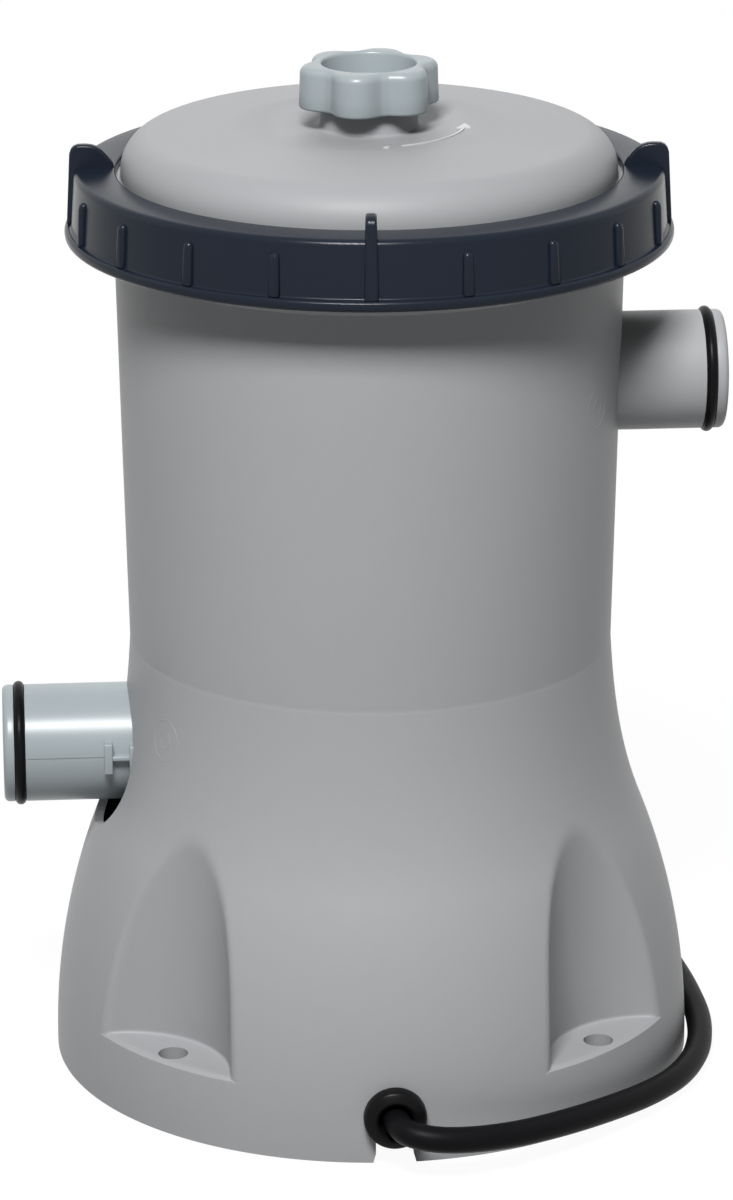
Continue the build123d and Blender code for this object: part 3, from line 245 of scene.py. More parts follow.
TANK_GREY = moulded_plastic("tank_grey", colour(147, 148, 150))
LID_GREY = moulded_plastic("lid_grey", colour(139, 140, 142), rough=0.48)
# the raised marks are lighter than the lid: partly stress whitening, and partly a painted highlight where
# their edges catch the light
MARK_WHITENING_AND_HIGHLIGHT = moulded_plastic("lid_mark", colour(180, 181, 183), rough=0.48)
RING_NAVY = moulded_plastic("ring_navy", colour(23, 29, 39), rough=0.2, grain=0.00003, tone=0.12, shine=0.12)
PORT_GREY = moulded_plastic("port_blue_grey", colour(138, 146, 149), rough=0.3, grain=0.000012, shine=0.35)
BASE_BLACK = moulded_plastic("base_black", colour(42, 43, 45), rough=0.5, grain=0.00004, tone=0.1)
CAP_BLUE = moulded_plastic("cap_blue", colour(92, 126, 160), rough=0.5, tone=0.06)
print([finish.name for finish in (TANK_GREY, LID_GREY, MARK_WHITENING_AND_HIGHLIGHT, RING_NAVY)])
print([finish.name for finish in (PORT_GREY, BASE_BLACK, CAP_BLUE)])

# %% [markdown]
# ## Rubber
#
# The lead, its plug and the grommet are rubber: nearly black, with a weak shine. Old rubber has a dusty
# bloom, which lies in patches a centimetre across. The patches are a noise raised to a power, so that most
# of the surface stays clean.


# %% Rubber, with a dusty bloom
def rubber(name, base, rough, bloom):
    finish = Finish(name, IOR=1.5, Specular_IOR_Level=0.06)
    patches = finish.noise(90.0, 5.0, 0.6)
    finish.set("Base Color", finish.mix(patches ** 2.0, base, tint(base, bloom)))
    finish.set("Roughness", rough + patches * 0.14)
    finish.bump(finish.noise(1500.0, 3.0) + patches * 2.0, 0.00002)
    return finish.material


BLACK_RUBBER = rubber("black_rubber", colour(13, 13, 14), 0.26, 1.9)
CABLE_BLACK = rubber("cable_black", colour(10, 10, 12), 0.36, 1.7)
print(BLACK_RUBBER.name, "and", CABLE_BLACK.name)

# %% [markdown]
# ## Metals
#
# Each metal inside has a grain with a direction: a turned screw, a stack of steel sheets, enamelled wire
# wound side by side, a drawn pin. A Mapping node squeezes the coordinates along one way, which draws the
# noise out into streaks along it.


# %% Metals with a grain
def metal(name, base, rough, stretch, per_metre, depth):
    """A metal whose grain is squeezed or drawn out along X, Y and Z."""
    finish = Finish(name, Metallic=1.0)
    drawn = finish.node("ShaderNodeMapping", {"vector_type": "POINT"}, {
        "Vector": finish.place, "Scale": stretch})
    streaks = finish.node("ShaderNodeTexNoise", None, {
        "Vector": drawn, "Scale": per_metre, "Detail": 4.0}, "Fac")
    finish.set("Base Color", finish.mix(streaks, tint(base, 0.72), base))
    finish.set("Roughness", rough + streaks * 0.16)
    finish.bump(streaks, depth)
    return finish.material


SCREW_STEEL = metal("screw_steel", (0.6, 0.6, 0.61, 1), 0.24, (1, 1, 0.15), 2200.0, 0.00002)
CORE_STEEL = metal("core_steel", (0.36, 0.37, 0.39, 1), 0.34, (0.02, 0.02, 1), 2000.0, 0.0002)
COPPER = metal("copper", (0.78, 0.32, 0.13, 1), 0.26, (0.05, 1, 0.05), 2600.0, 0.0003)
PLUG_METAL = metal("plug_metal", (0.78, 0.77, 0.74, 1), 0.14, (1, 0.1, 1), 1800.0, 0.00001)
print([finish.name for finish in (SCREW_STEEL, CORE_STEEL, COPPER, PLUG_METAL)])

# %% [markdown]
# ## Ferrite and filter paper
#
# The rotor's magnet is pressed ferrite, a dark ceramic with fine pits. Filter paper is a felt of fibres
# with thicker and thinner clouds in it. Both are only noise, at two very different sizes.


# %% Ferrite, and pleated filter paper
def ferrite():
    finish = Finish("magnet", IOR=1.9)
    specks = finish.noise(1300.0, 4.0, 0.7)
    finish.set("Base Color", finish.mix(specks, (0.016, 0.016, 0.018, 1), (0.05, 0.05, 0.053, 1)))
    finish.set("Roughness", 0.5 + specks * 0.25)
    finish.bump(specks, 0.00008)
    return finish.material


def filter_paper():
    finish = Finish("filter_paper", IOR=1.4)
    fibres = finish.noise(2600.0, 6.0, 0.7)
    clouds = finish.noise(60.0, 3.0)
    finish.set("Base Color", finish.mix(fibres * 0.6 + clouds * 0.4, colour(205, 212, 218),
                                        colour(240, 243, 245)))
    finish.set("Roughness", 0.82 + fibres * 0.12)
    finish.bump(fibres, 0.00012)
    return finish.material


MAGNET, FILTER_PAPER = ferrite(), filter_paper()
print(MAGNET.name, "and", FILTER_PAPER.name)

# %% [markdown]
# ## The lamps
#
# A strong lamp stands high in front, a little to the left, a faint one on each side, and one behind keeps
# the back from going dark. A light's colour and strength change what every surface looks like, so they stay
# plain. The lamp behind is hidden from glossy rays, because the lid would mirror it as a white patch.

# %% Four lamps
MIDDLE = (0.0, 0.0, 0.14)


def lamp(name, at, size, watts):
    """A rectangular lamp that faces the middle of the pump."""
    data = bpy.data.lights.new(name, "AREA")
    data.shape = "RECTANGLE"
    data.size, data.size_y = size
    data.energy = watts
    holder = linked(name, data)
    away = Vector(at) - Vector(MIDDLE)
    holder.matrix_world = Matrix.Translation(at) @ away.to_track_quat("Z", "Y").to_matrix().to_4x4()
    return holder


lamp("front_lamp", (-0.22, -1.03, 1.43), (0.5, 0.4), 42.0)
lamp("left_lamp", (-1.3, 0.2, 0.75), (0.6, 1.1), 0.7)
lamp("right_lamp", (1.3, 0.3, 0.75), (0.5, 1.1), 0.8)
lamp("back_lamp", (0.0, 1.35, 0.9), (0.9, 0.7), 14.0).visible_glossy = False
print([f"{each.name} {each.energy:g} W" for each in bpy.data.lights])

# %% [markdown]
# ## The white behind
#
# The background is white only for rays that the camera, a mirror or a clear material sends. All others find
# it nearly black, so it adds hardly any light to the object. A Light Path node tells the rays apart, and a
# Mix Shader chooses between the two backgrounds.

# %% The background
AMBIENT = 0.03


def white_to_the_eye(tree, strength):
    """A factor that is strength where the camera, a mirror or a clear surface looks, and 0 elsewhere."""
    path = tree.nodes.new("ShaderNodeLightPath")
    seen = Value(path.outputs["Is Camera Ray"]) + Value(path.outputs["Is Glossy Ray"])
    seen = seen + Value(path.outputs["Is Transmission Ray"])
    return seen.maths("MINIMUM", seen, 1.0) * strength


def choose(tree, factor, plain, shown, output):
    """Send a mix of two shaders to the tree's output node."""
    choice = tree.nodes.new("ShaderNodeMixShader")
    feed(choice.inputs[0], factor)
    tree.links.new(plain.outputs[0], choice.inputs[1])
    tree.links.new(shown.outputs[0], choice.inputs[2])
    tree.links.new(choice.outputs[0], tree.nodes[output].inputs["Surface"])


world = bpy.data.worlds.new("studio")
bpy.context.scene.world = world
world.use_nodes = True
sky = world.node_tree
dim, white = sky.nodes["Background"], sky.nodes.new("ShaderNodeBackground")
for shader, strength in ((dim, AMBIENT), (white, 1.0)):
    shader.inputs["Color"].default_value = (1, 1, 1, 1)
    shader.inputs["Strength"].default_value = strength
choose(sky, white_to_the_eye(sky, 1.0), dim, white, "World Output")
print("background of", len(sky.nodes), "nodes")

# %% [markdown]
# ## The floor
#
# The floor is a matt grey that takes the pump's shadow, under a white glow that only the eye sees. The glow
# covers most of the grey, so what is left of it is a soft shadow on white.

# %% The floor
FLOOR_HALF, FLOOR_GREY, FLOOR_COVER, FLOOR_GLOW = 3.0, 0.28, 0.85, 1.12
floor_data = bpy.data.meshes.new("floor")
floor_data.from_pydata([(x * FLOOR_HALF, y * FLOOR_HALF, 0) for x, y in ((-1, -1), (1, -1), (1, 1), (-1, 1))],
                       [], [(0, 1, 2, 3)])
floor = linked("floor", floor_data)
floor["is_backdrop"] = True
paint = bpy.data.materials.new("floor_paint")
paint.use_nodes = True
matt = paint.node_tree.nodes["Principled BSDF"]
matt.inputs["Base Color"].default_value = (FLOOR_GREY, FLOOR_GREY, FLOOR_GREY, 1)
matt.inputs["Roughness"].default_value = 0.9
glow = paint.node_tree.nodes.new("ShaderNodeEmission")
glow.inputs["Strength"].default_value = FLOOR_GLOW
choose(paint.node_tree, white_to_the_eye(paint.node_tree, FLOOR_COVER), matt, glow, "Material Output")
floor_data.materials.append(paint)
bpy.context.scene.view_settings.view_transform = "Standard"
print("floor", 2 * FLOOR_HALF, "m wide")

# %% [markdown]
# ## Lines with rounded corners
#
# Most of the pump is turned: a line drawn in a plane, swung round an axis. Moulded corners are never quite
# sharp. A Bevel modifier rounds them all alike. Here each corner of a line has its own radius, and `rounded`
# puts the arcs in.

# %% A line with rounded corners
ARC_STEPS = 5


def rounded(corners):
    """Points (radius, height) of a closed line; a corner is (radius, height, rounding), all in mm."""
    points = []
    for index, (r, z, size) in enumerate(corners):
        here = Vector((r, z))
        before, after = Vector(corners[index - 1][:2]), Vector(corners[(index + 1) % len(corners)][:2])
        if size == 0:
            points.append(here)
            continue
        into, out = (before - here).normalized(), (after - here).normalized()
        half = into.angle(out) / 2
        reach = size / max(0.05, abs(sin(half) / cos(half)))
        centre = here + (into + out).normalized() * (size / sin(half))
        start, end = here + into * reach - centre, here + out * reach - centre
        swing = start.angle_signed(end)
        for step in range(ARC_STEPS + 1):
            points.append(centre + Matrix.Rotation(-swing * step / ARC_STEPS, 2) @ start)
    return [(point.x, point.y) for point in points]


square = rounded([(0, 0, 1), (9, 0, 1), (9, 9, 1), (0, 9, 1)])
print("a square with four round corners has", len(square), "points")

# %% [markdown]
# ## A line swung round an axis
#
# A turned shape is a row of rings, and `skin` joins each ring to the next by faces. Where a ring is one
# point, a pole, the face there loses a corner and becomes a triangle, so the shell stays closed. Other
# shapes below are rows of rings too, and share the helper.

# %% Rings, their skin, and turned shapes
POLE = 1e-6                           # a radius under this, in mm, is a pole


def skin(rings, closed=True):
    """Faces between neighbouring rings of vertices; closed joins the last ring to the first."""
    faces = []
    for low, high in zip(rings, rings[1:] + (rings[:1] if closed else [])):
        for step in range(len(low)):
            later = (step + 1) % len(low)
            corners = [low[step], low[later], high[later], high[step]]
            face = [v for at, v in enumerate(corners) if v != corners[at - 1]]
            if len(face) > 2:
                faces.append(face)
    return faces


def turned(line, steps, centre=(0.0, 0.0, 0.0), along="Z"):
    """Vertices and faces of a closed line, in mm, swung round an axis through the centre."""
    verts, rings = [], []
    for r, z in line:
        start, count = len(verts), 1 if r < POLE else steps
        for step in range(count):
            turn = tau * step / steps
            across, up, out = r * cos(turn), r * sin(turn), z
            spot = {"Z": (across, up, out), "X": (out, across, up), "Y": (up, out, across)}[along]
            verts.append(tuple((a + b) * MM for a, b in zip(spot, centre)))
        rings.append([start + step % count for step in range(steps)])
    return verts, skin(rings)


print("a cone of 8 sides has", len(turned([(0, 0), (1, 0), (0, 1)], 8)[1]), "faces")

# %% [markdown]
# ## A finished piece
#
# A finished piece is one mesh with one finish. It rides on a body of the packed model and may stand for
# some of its nodes. Normals are made to point outwards, and an edge sharper than 35 degrees stays crisp.

# %% Make a mesh and finish a piece
MERGE = 0.000002


def crisp(mesh):
    """Smooth shading, with the sharp edges kept."""
    mesh.shade_smooth()
    mesh.set_sharp_from_angle(angle=radians(35))


def tidy_mesh(mesh, merge=MERGE):
    """Join points that lie together, turn the faces outwards and set the shading."""
    work = bmesh.new()
    work.from_mesh(mesh)
    bmesh.ops.remove_doubles(work, verts=work.verts, dist=merge)
    bmesh.ops.recalc_face_normals(work, faces=work.faces)
    work.to_mesh(mesh)
    work.free()
    crisp(mesh)


def new_object(name, shells):
    """One object from one or more shells, each (vertices, faces)."""
    verts, faces = [], []
    for shell_verts, shell_faces in shells:
        faces += [[v + len(verts) for v in face] for face in shell_faces]
        verts += shell_verts
    mesh = bpy.data.meshes.new(name)
    mesh.from_pydata(verts, [], faces)
    tidy_mesh(mesh)
    return linked(name, mesh)


def finish_piece(piece, material, body, nodes=()):
    """Give a piece its finish, its body and the nodes that it stands for."""
    piece.data.materials.clear()
    piece.data.materials.append(material)
    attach(piece, body)
    if nodes:
        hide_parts(*nodes)
    print(piece.name, "on", body)


def say_size(piece):
    print(piece.name, [round(side / MM, 1) for side in piece.dimensions], "mm")


print("points closer than", round(MERGE / MM, 4), "mm are joined")

# %% [markdown]
# ## The mains lead
#
# A lead is one length of rubber cable. It leaves the grommet, sweeps round the right of the foot, and the
# length that isn't in use lies behind, wound up. A NURBS line passes near its points and not through them,
# so it bends as a cable does. The points before and after the coil are listed, and the coil's come from
# a loop. A turn lies beside or on the one before it, one diameter away. It steps to its next place over a
# tenth of the circle, at a bearing that keeps the turns from meeting there.

# %% The listed route
CABLE_R = 3.5
LEAD_ROUTE = [
    (0.0, -88.0, 13.6), (0.0, -95.0, 13.6), (4.6, -100.5, 13.0), (14.5, -101.0, 11.7),
    (30.0, -95.0, 10.0), (45.2, -84.6, 8.4), (60.3, -71.8, 6.8), (72.5, -59.0, 5.2),
    (82.0, -45.4, 4.1), (88.9, -28.0, 3.5), (91.8, -8.0, 3.5), (91.2, 12.5, 3.5),
    (88.6, 35.5, 3.5), (84.0, 61.0, 3.5), (72.0, 83.5, 3.5), (54.0, 96.5, 3.5)]
TAIL_ROUTE = [(27.0, 98.5, 24.6), (15.5, 101.0, 24.8), (3.5, 106.5, 21.0), (-9.5, 114.5, 14.5),
              (-20.5, 125.5, 9.5), (-27.3, 136.2, 7.2), (-33.5, 151.0, 7.0)]
print(len(LEAD_ROUTE), "points before the coil and", len(TAIL_ROUTE), "after it")

# %% The coil's turns
COIL_AT = (36.0, 146.0)
TURN_POINTS = 24
STEP_SPREAD = 36.0                    # degrees over which a turn steps to the next one's place
# a turn's radius and height, and where in its circle (degrees past the front) it steps to the next
TURNS = [(47.0, 3.5, 320), (40.0, 3.5, 320), (33.0, 3.5, 280), (33.0, 10.5, 240), (40.0, 10.5, 240),
         (47.0, 10.5, 200), (47.0, 17.5, 160)]
LAST_PLACE = (40.0, 17.5)             # the coil ends here, at the front of its circle


def coil_points():
    points = []
    places = [turn[:2] for turn in TURNS] + [LAST_PLACE]
    for (r, z, step_at), (next_r, next_z) in zip(TURNS, places[1:]):
        for index in range(TURN_POINTS):
            past = 360.0 * index / TURN_POINTS
            share = min(1.0, max(0.0, (past - step_at) / STEP_SPREAD + 0.5))
            here_r = r + (next_r - r) * share
            angle = radians(270 - past)
            points.append((COIL_AT[0] + here_r * cos(angle), COIL_AT[1] + here_r * sin(angle),
                           z + (next_z - z) * share))
    front = radians(270)
    r, z = LAST_PLACE
    return points + [(COIL_AT[0] + r * cos(front), COIL_AT[1] + r * sin(front), z)]


route = LEAD_ROUTE + coil_points() + TAIL_ROUTE
run = sum((Vector(b) - Vector(a)).length for a, b in zip(route, route[1:]))
print("route of", len(route), "points, about", round(run), "mm")

# %% [markdown]
# A curve with a bevel is a tube that follows its spline, so the cable needs no mesh of its own. An order of 3
# keeps the line close to its points, and with its endpoints in use it starts at the first point and ends at
# the last.


# %% The lead itself
def cable_curve(name, points, radius):
    data = bpy.data.curves.new(name, "CURVE")
    data.dimensions = "3D"
    data.bevel_depth = radius * MM
    data.bevel_resolution = 5
    data.use_fill_caps = True
    line = data.splines.new("NURBS")
    line.points.add(len(points) - 1)
    for point, spot in zip(line.points, points):
        point.co = (*(part * MM for part in spot), 1.0)
    line.order_u = 3
    line.use_endpoint_u = True
    line.resolution_u = 8
    return linked(name, data)


lead = cable_curve("mains_lead", route, CABLE_R)
finish_piece(lead, CABLE_BLACK, "housing", ("power_cord", "power_cord_coil"))
say_size(lead)

# %% [markdown]
# ## The housing
#
# Foot, tank and neck are one moulding. Four pockets for the mounting screws bite into the flare. A pocket is
# a round well standing upright, so its wall meets the flare in an arch. The moulded edge there is soft, and
# a bevel can't follow such an edge well. So the surface is worked out as a formula instead: how far a point
# is outside the flare, and how far inside a pocket, blended with a smooth maximum that rounds the edge. Each
# point of a grid is then moved along its own line until the formula is zero.

# %% The flare
FOOT_R, FOOT_H = 87.7, 2.0
BEND_R, BEND_Z = 74.9, 69.0
WAIST_R, WAIST_Z = 65.6, 118.0
FLARE_ARC = ((FOOT_R - BEND_R) ** 2 + (BEND_Z - FOOT_H) ** 2) / (2 * (FOOT_R - BEND_R))
BEND_SLOPE = (BEND_Z - FOOT_H) / sqrt(FLARE_ARC ** 2 - (BEND_Z - FOOT_H) ** 2)
WAIST_SLOPE = 0.06                    # a faint crease where the tank's straight taper ends


def flare(z):
    """The foot's radius at a height, with no pockets: an arc up to the bend, then a cubic to the waist."""
    if z < FOOT_H:
        return FOOT_R
    if z < BEND_Z:
        return FOOT_R - FLARE_ARC + sqrt(FLARE_ARC ** 2 - (z - FOOT_H) ** 2)
    tall = WAIST_Z - BEND_Z
    t = (WAIST_Z - z) / tall
    ends = WAIST_R * (2 * t ** 3 - 3 * t ** 2 + 1) + BEND_R * (3 * t ** 2 - 2 * t ** 3)
    return ends + tall * (WAIST_SLOPE * (t ** 3 - 2 * t ** 2 + t) + BEND_SLOPE * (t ** 3 - t ** 2))


print("flare", [round(flare(z), 1) for z in (0, 30, 60, 90, 118)], "mm at 0, 30, 60, 90 and 118 mm up")

# %% [markdown]
# The smooth maximum is what rounds an edge. Where two numbers are nearly the same it blends them, and
# elsewhere it is the larger one. The moulded edge is widest at the pocket's ledge and gets narrower over the
# 45 mm above it.

# %% The pockets
POCKET_R, POCKET_AT, LEDGE_Z, WALL = 28.2, 100.0, 20.0, 2.5
LEDGE_SOFT, EDGE_SOFT, EDGE_THINS, THINS_OVER = 0.8, 2.4, 1.6, 45
HALVINGS = 34


def smooth_max(a, b, size):
    """The larger of two numbers, rounded over where they are nearly the same."""
    blend = max(size - abs(a - b), 0.0)
    return max(a, b) + blend * blend / (4 * size)


def smooth_min(a, b, size):
    return -smooth_max(-a, -b, size)


def outside(r, off_pocket, z, wall):
    """Above 0 outside the housing; off_pocket is the angle from the nearest pocket's middle."""
    gap = sqrt(r * r + POCKET_AT ** 2 - 2 * r * POCKET_AT * cos(off_pocket))
    well = smooth_min(POCKET_R + wall - gap, z - LEDGE_Z + wall, LEDGE_SOFT)
    climb = min(1.0, max(0.0, (z - LEDGE_Z) / THINS_OVER))
    return smooth_max(r - flare(z) + wall, well, EDGE_SOFT - EDGE_THINS * climb)


def solve(function, low, high):
    """Where a rising function is zero, by halving."""
    for _ in range(HALVINGS):
        middle = (low + high) / 2
        if function(middle) > 0:
            high = middle
        else:
            low = middle
    return (low + high) / 2


print("a pocket is", round(FOOT_R - (POCKET_AT - POCKET_R), 1), "mm deep at the floor")

# %% [markdown]
# The grid's bearings lie close together where a pocket's edge runs, and far apart between the pockets. Its
# heights do the same near the ledge, where each line turns from the pocket's floor into its wall. All four
# pockets are alike, so a line is worked out once for each distance from a pocket's middle.


# %% The grid's bearings and heights
def evenly(low, high, step):
    """Numbers from low up to high, without high itself."""
    count = max(1, round((high - low) / step))
    return [low + (high - low) * n / count for n in range(count)]


def spread(low, high, count):
    """Numbers from low to high, closer together at both ends."""
    return [low + (high - low) * (1 - cos(pi * n / (count - 1))) / 2 for n in range(count)]


QUARTER = (evenly(-45, -19, 2.0) + evenly(-19, -10.5, 0.32) + evenly(-10.5, 10.5, 0.75)
           + evenly(10.5, 19, 0.32) + evenly(19, 45, 2.0))
BEARINGS = [(45 + 90 * quarter + part, part) for quarter in range(4) for part in QUARTER]
BELOW = [0.0, 0.5, 1.2, 2.0, 5.0, 9.0, 13.0, 16.0, 17.6, 18.6, 19.3]
ABOVE = ([20.15, 20.4, 20.8, 21.4, 22.2, 23.4, 25.0, 27.0] + evenly(29.5, 84.0, 1.5)
         + evenly(84, 112, 4.0) + [112.0, 114.5, 116.5, 117.5])
print(len(BEARINGS), "bearings,", len(BELOW), "heights below the ledge and", len(ABOVE), "above it")

# %% [markdown]
# A line of the grid runs from the floor up the flare, in across the ledge, and up the pocket's wall. On the
# wall each height has one radius, and on the ledge each radius has one height, so the line changes over from
# solving for the one to solving for the other.

# %% One line of the foot
NEAREST, FARTHEST = 50.0, 90.0        # the housing's wall is between these radii
INNER_TOP = 106.0                     # the inner face ends under the deck
LEDGE_POINTS, EDGE_ROOM = 15, 0.5     # points across the ledge, and the room for its soft edge, in mm


def foot_line(off_pocket, wall):
    """The foot's line at one bearing, from the floor up, as (radius, height)."""
    off = radians(off_pocket)
    ledge = LEDGE_Z - wall
    line = [(flare(z) - wall, z) for z in BELOW if z < ledge - 0.6]
    rise = [ledge + (z - LEDGE_Z) for z in ABOVE if ledge + (z - LEDGE_Z) < INNER_TOP or wall == 0]
    wall_at = solve(lambda r: outside(r, off, rise[0], wall), NEAREST, FARTHEST)
    edge_at = solve(lambda r: outside(r, off, ledge - EDGE_ROOM, wall), NEAREST, FARTHEST)
    for r in spread(edge_at, wall_at, LEDGE_POINTS):
        line.append((r, solve(lambda z: outside(r, off, z, wall), ledge - 3.0, rise[0] + EDGE_ROOM)))
    line += [(solve(lambda r: outside(r, off, z, wall), NEAREST, FARTHEST), z) for z in rise[1:]]
    return line


print("a line through a pocket's middle has", len(foot_line(0.0, 0.0)), "points")

# %% [markdown]
# Above the waist nothing changes with the bearing, so one line serves all round: up the outside of the tank
# and neck, over the rim, down the inside, and along the deck to the hole in its middle.

# %% The tank and the neck
SHOULDER_R, SHOULDER_Z, NECK_R, NECK_Z, RIM_Z = 67.9, 226.5, 72.0, 230.5, 243.6
DECK_Z, DECK_UNDER, DECK_HOLE_R = 110.0, 107.0, 19.0
THREAD = [(NECK_R + proud, z + dz) for z in (234.6, 239.4)
          for dz, proud in ((-1.5, 0), (-0.5, 2.0), (0.5, 2.0), (1.5, 0))]
UPPER = ([(WAIST_R, WAIST_Z), (65.54, 118.35), (65.56, 119.2), (65.6, 121.0), (66.75, 172.0),
          (SHOULDER_R, SHOULDER_Z), (NECK_R - 0.3, NECK_Z)]
         + THREAD
         + [(NECK_R, RIM_Z - 0.6), (NECK_R - 0.6, RIM_Z), (70.4, RIM_Z), (70.2, RIM_Z - 0.2),
            (70.2, RIM_Z - 2.2), (67.2, RIM_Z - 2.2), (67.2, RIM_Z - 0.2), (67.0, RIM_Z), (65.9, RIM_Z),
            (65.4, RIM_Z - 0.5), (64.3, 178.0), (63.3, 112.0), (61.2, DECK_Z), (22.0, DECK_Z),
            (22.0, 119.5), (21.5, 120.0), (DECK_HOLE_R + 0.5, 120.0), (DECK_HOLE_R, 119.5),
            (DECK_HOLE_R, DECK_UNDER), (61.0, DECK_UNDER)])


def housing_shell():
    verts, faces, lines = [], [], {}
    for bearing, off in BEARINGS:
        apart = abs(round(off, 6))
        if apart not in lines:
            lines[apart] = foot_line(off, 0.0) + UPPER + foot_line(off, WALL)[::-1]
        turn = radians(bearing)
        verts += [(r * cos(turn) * MM, r * sin(turn) * MM, z * MM) for r, z in lines[apart]]
    columns, rows = len(BEARINGS), len(lines[apart])
    for column in range(columns):
        here, beside = column * rows, (column + 1) % columns * rows
        for row in range(rows):
            above = (row + 1) % rows
            faces.append((here + row, beside + row, beside + above, here + above))
    return verts, faces


housing = new_object("housing_shell", [housing_shell()])
print("housing of", len(housing.data.polygons), "faces before its openings")

# %% [markdown]
# ## Openings
#
# The openings are cut out of the finished shell: the hole of the inlet spigot, the round window of the
# outlet, the cable's notch, and the holes of the mounting screws. A cutter is a closed shape of its own, and
# a Boolean modifier takes its space away. The result is kept as plain mesh, because the cutters go.


# %% Cutters, and cutting
def baked(piece):
    """Turn the piece's modifiers into plain mesh."""
    graph = bpy.context.evaluated_depsgraph_get()
    mesh = bpy.data.meshes.new_from_object(piece.evaluated_get(graph))
    piece.modifiers.clear()
    piece.data = mesh
    return piece


def cut(piece, *cutters):
    """Take the cutters' space out of the piece."""
    for cutter in cutters:
        tool = piece.modifiers.new("cut", "BOOLEAN")
        tool.object, tool.operation, tool.solver = cutter, "DIFFERENCE", "EXACT"
    baked(piece)
    for cutter in cutters:
        bpy.data.objects.remove(cutter)
    tidy_mesh(piece.data, 2 * MERGE)


def round_cutter(name, radius, start, length, centre, along):
    line = [(0, start), (radius, start), (radius, start + length), (0, start + length)]
    return new_object(name, [turned(line, 96, centre, along)])


def drills(name, radius, low, height, spots):
    """Upright round cutters at some places."""
    return [round_cutter(f"{name}_{n}", radius, low, height, (*spot, 0), "Z")
            for n, spot in enumerate(spots)]


def ring_of(radius, count, start):
    """Places (x, y) round the middle, the first at a bearing of start degrees."""
    return [(radius * cos(radians(start + 360 * n / count)), radius * sin(radians(start + 360 * n / count)))
            for n in range(count)]


print("places of three screws:", [(round(x), round(y)) for x, y in ring_of(10, 3, 90)])

# %% [markdown]
# The notch is open at the floor, so that the lead with its grommet can be laid in before the base plate goes
# on. Its cutter is a prism with an arched top, drawn from the front.

# %% The cable's notch
GROMMET_Z, NOTCH_R = 13.6, 5.0


def prism_faces(count):
    """Faces of a prism whose two ends have count points each, one end after the other."""
    ends = [tuple(range(count)), tuple(range(2 * count - 1, count - 1, -1))]
    return ends + [(n, (n + 1) % count, count + (n + 1) % count, count + n) for n in range(count)]


def notch_cutter():
    outline = [(-6.0, -1.0), (6.0, -1.0), (NOTCH_R, 2.6)]
    outline += [(NOTCH_R * cos(pi * n / 20), GROMMET_Z + NOTCH_R * sin(pi * n / 20)) for n in range(21)]
    outline.append((-NOTCH_R, 2.6))
    verts = [(x * MM, y * MM, z * MM) for y in (-95.0, -79.0) for x, z in outline]
    return new_object("notch_cutter", [(verts, prism_faces(len(outline)))])


print("notch", 2 * NOTCH_R, "mm wide, round at", GROMMET_Z, "mm up")

# %% [markdown]
# The window is wider than the spigot that comes through it, and its middle is lower, so there is a dark gap
# round the spigot, widest below. The holes are at the pockets' middles, one for each mounting screw.

# %% Cut the openings
INLET_Z, WINDOW_Z, WINDOW_R = 191.0, 85.1, 19.9
MOUNT_HOLES = ring_of(81, 4, 45)
cut(housing,
    round_cutter("inlet_hole", 16.05, 50.0, 30.0, (0, 0, INLET_Z), "X"),
    round_cutter("window", WINDOW_R, -95.0, 42.0, (0, 0, WINDOW_Z), "X"),
    notch_cutter(),
    *drills("hole", 4.0, 10.0, 15.0, MOUNT_HOLES))
print("housing of", len(housing.data.polygons), "faces after")

# %% [markdown]
# ## Bosses
#
# A screw needs more plastic round it than a thin wall has, so each stands in a small tube. The tubes are
# one object of many shells: a modelled join would not be seen, because the same grey hides it.

# %% Bosses inside the housing
BASE_SCREWS, FLANGE_SCREWS = ring_of(80.2, 4, 20), ring_of(47.0, 6, 30)


def tubes(outer, inner, low, high, spots):
    """Upright tubes at some places."""
    line = [(inner, low), (outer, low), (outer, high), (inner, high)]
    return [turned(line, 40, (*spot, 0), "Z") for spot in spots]


bosses = (tubes(5.7, 4.0, 0.0, 18.5, MOUNT_HOLES) + tubes(4.5, 1.65, 4.0, 28.0, BASE_SCREWS)
          + tubes(3.6, 1.95, 103.9, 107.4, FLANGE_SCREWS))
inside = new_object("housing_bosses", bosses)
finish_piece(housing, TANK_GREY, "housing", ("foot_housing", "tank_floor", "tank_wall"))
finish_piece(inside, TANK_GREY, "housing")
say_size(housing)

# %% [markdown]
# ## The locking ring
#
# The ring clamps the lid to the neck, and a hand turns it by its grips. Its body is turned, with a skirt
# that comes down over the neck's thread.

# %% The ring's body
RING_LINE = rounded([
    (79.2, 233.7, 0.7), (81.0, 233.7, 1.0), (81.0, 230.8, 1.2), (76.0, 230.8, 0.4), (76.0, 246.9, 0.4),
    (67.2, 246.9, 0.3), (67.2, 249.0, 0.8), (78.2, 249.0, 1.9)])
ring = new_object("grip_ring", [turned(RING_LINE, 240)])
say_size(ring)

# %% [markdown]
# The grips are upright plates, tall fins and short ribs, drawn from the side and given a thickness. They are
# thinner at the top, because a moulding has to leave its mould. Here a Bevel modifier does well, since every
# edge is straight and clean.


# %% A fin and a rib
def softened(piece, size):
    """Round the piece's sharp edges by a radius in mm."""
    edge = piece.modifiers.new("soft_edge", "BEVEL")
    edge.width, edge.segments, edge.limit_method = size * MM, 3, "ANGLE"
    edge.angle_limit = radians(50)
    return baked(piece)


def upright_plate(name, outline, thickness, soft):
    """A plate standing in the XZ plane, a quarter thinner at its top, with soft edges; all in mm."""
    foot, top = min(z for x, z in outline), max(z for x, z in outline)
    verts = [(x * MM, side * thickness / 2 * (1 - 0.25 * (z - foot) / (top - foot)) * MM, z * MM)
             for side in (-1, 1) for x, z in outline]
    return softened(new_object(name, [(verts, prism_faces(len(outline)))]), soft)


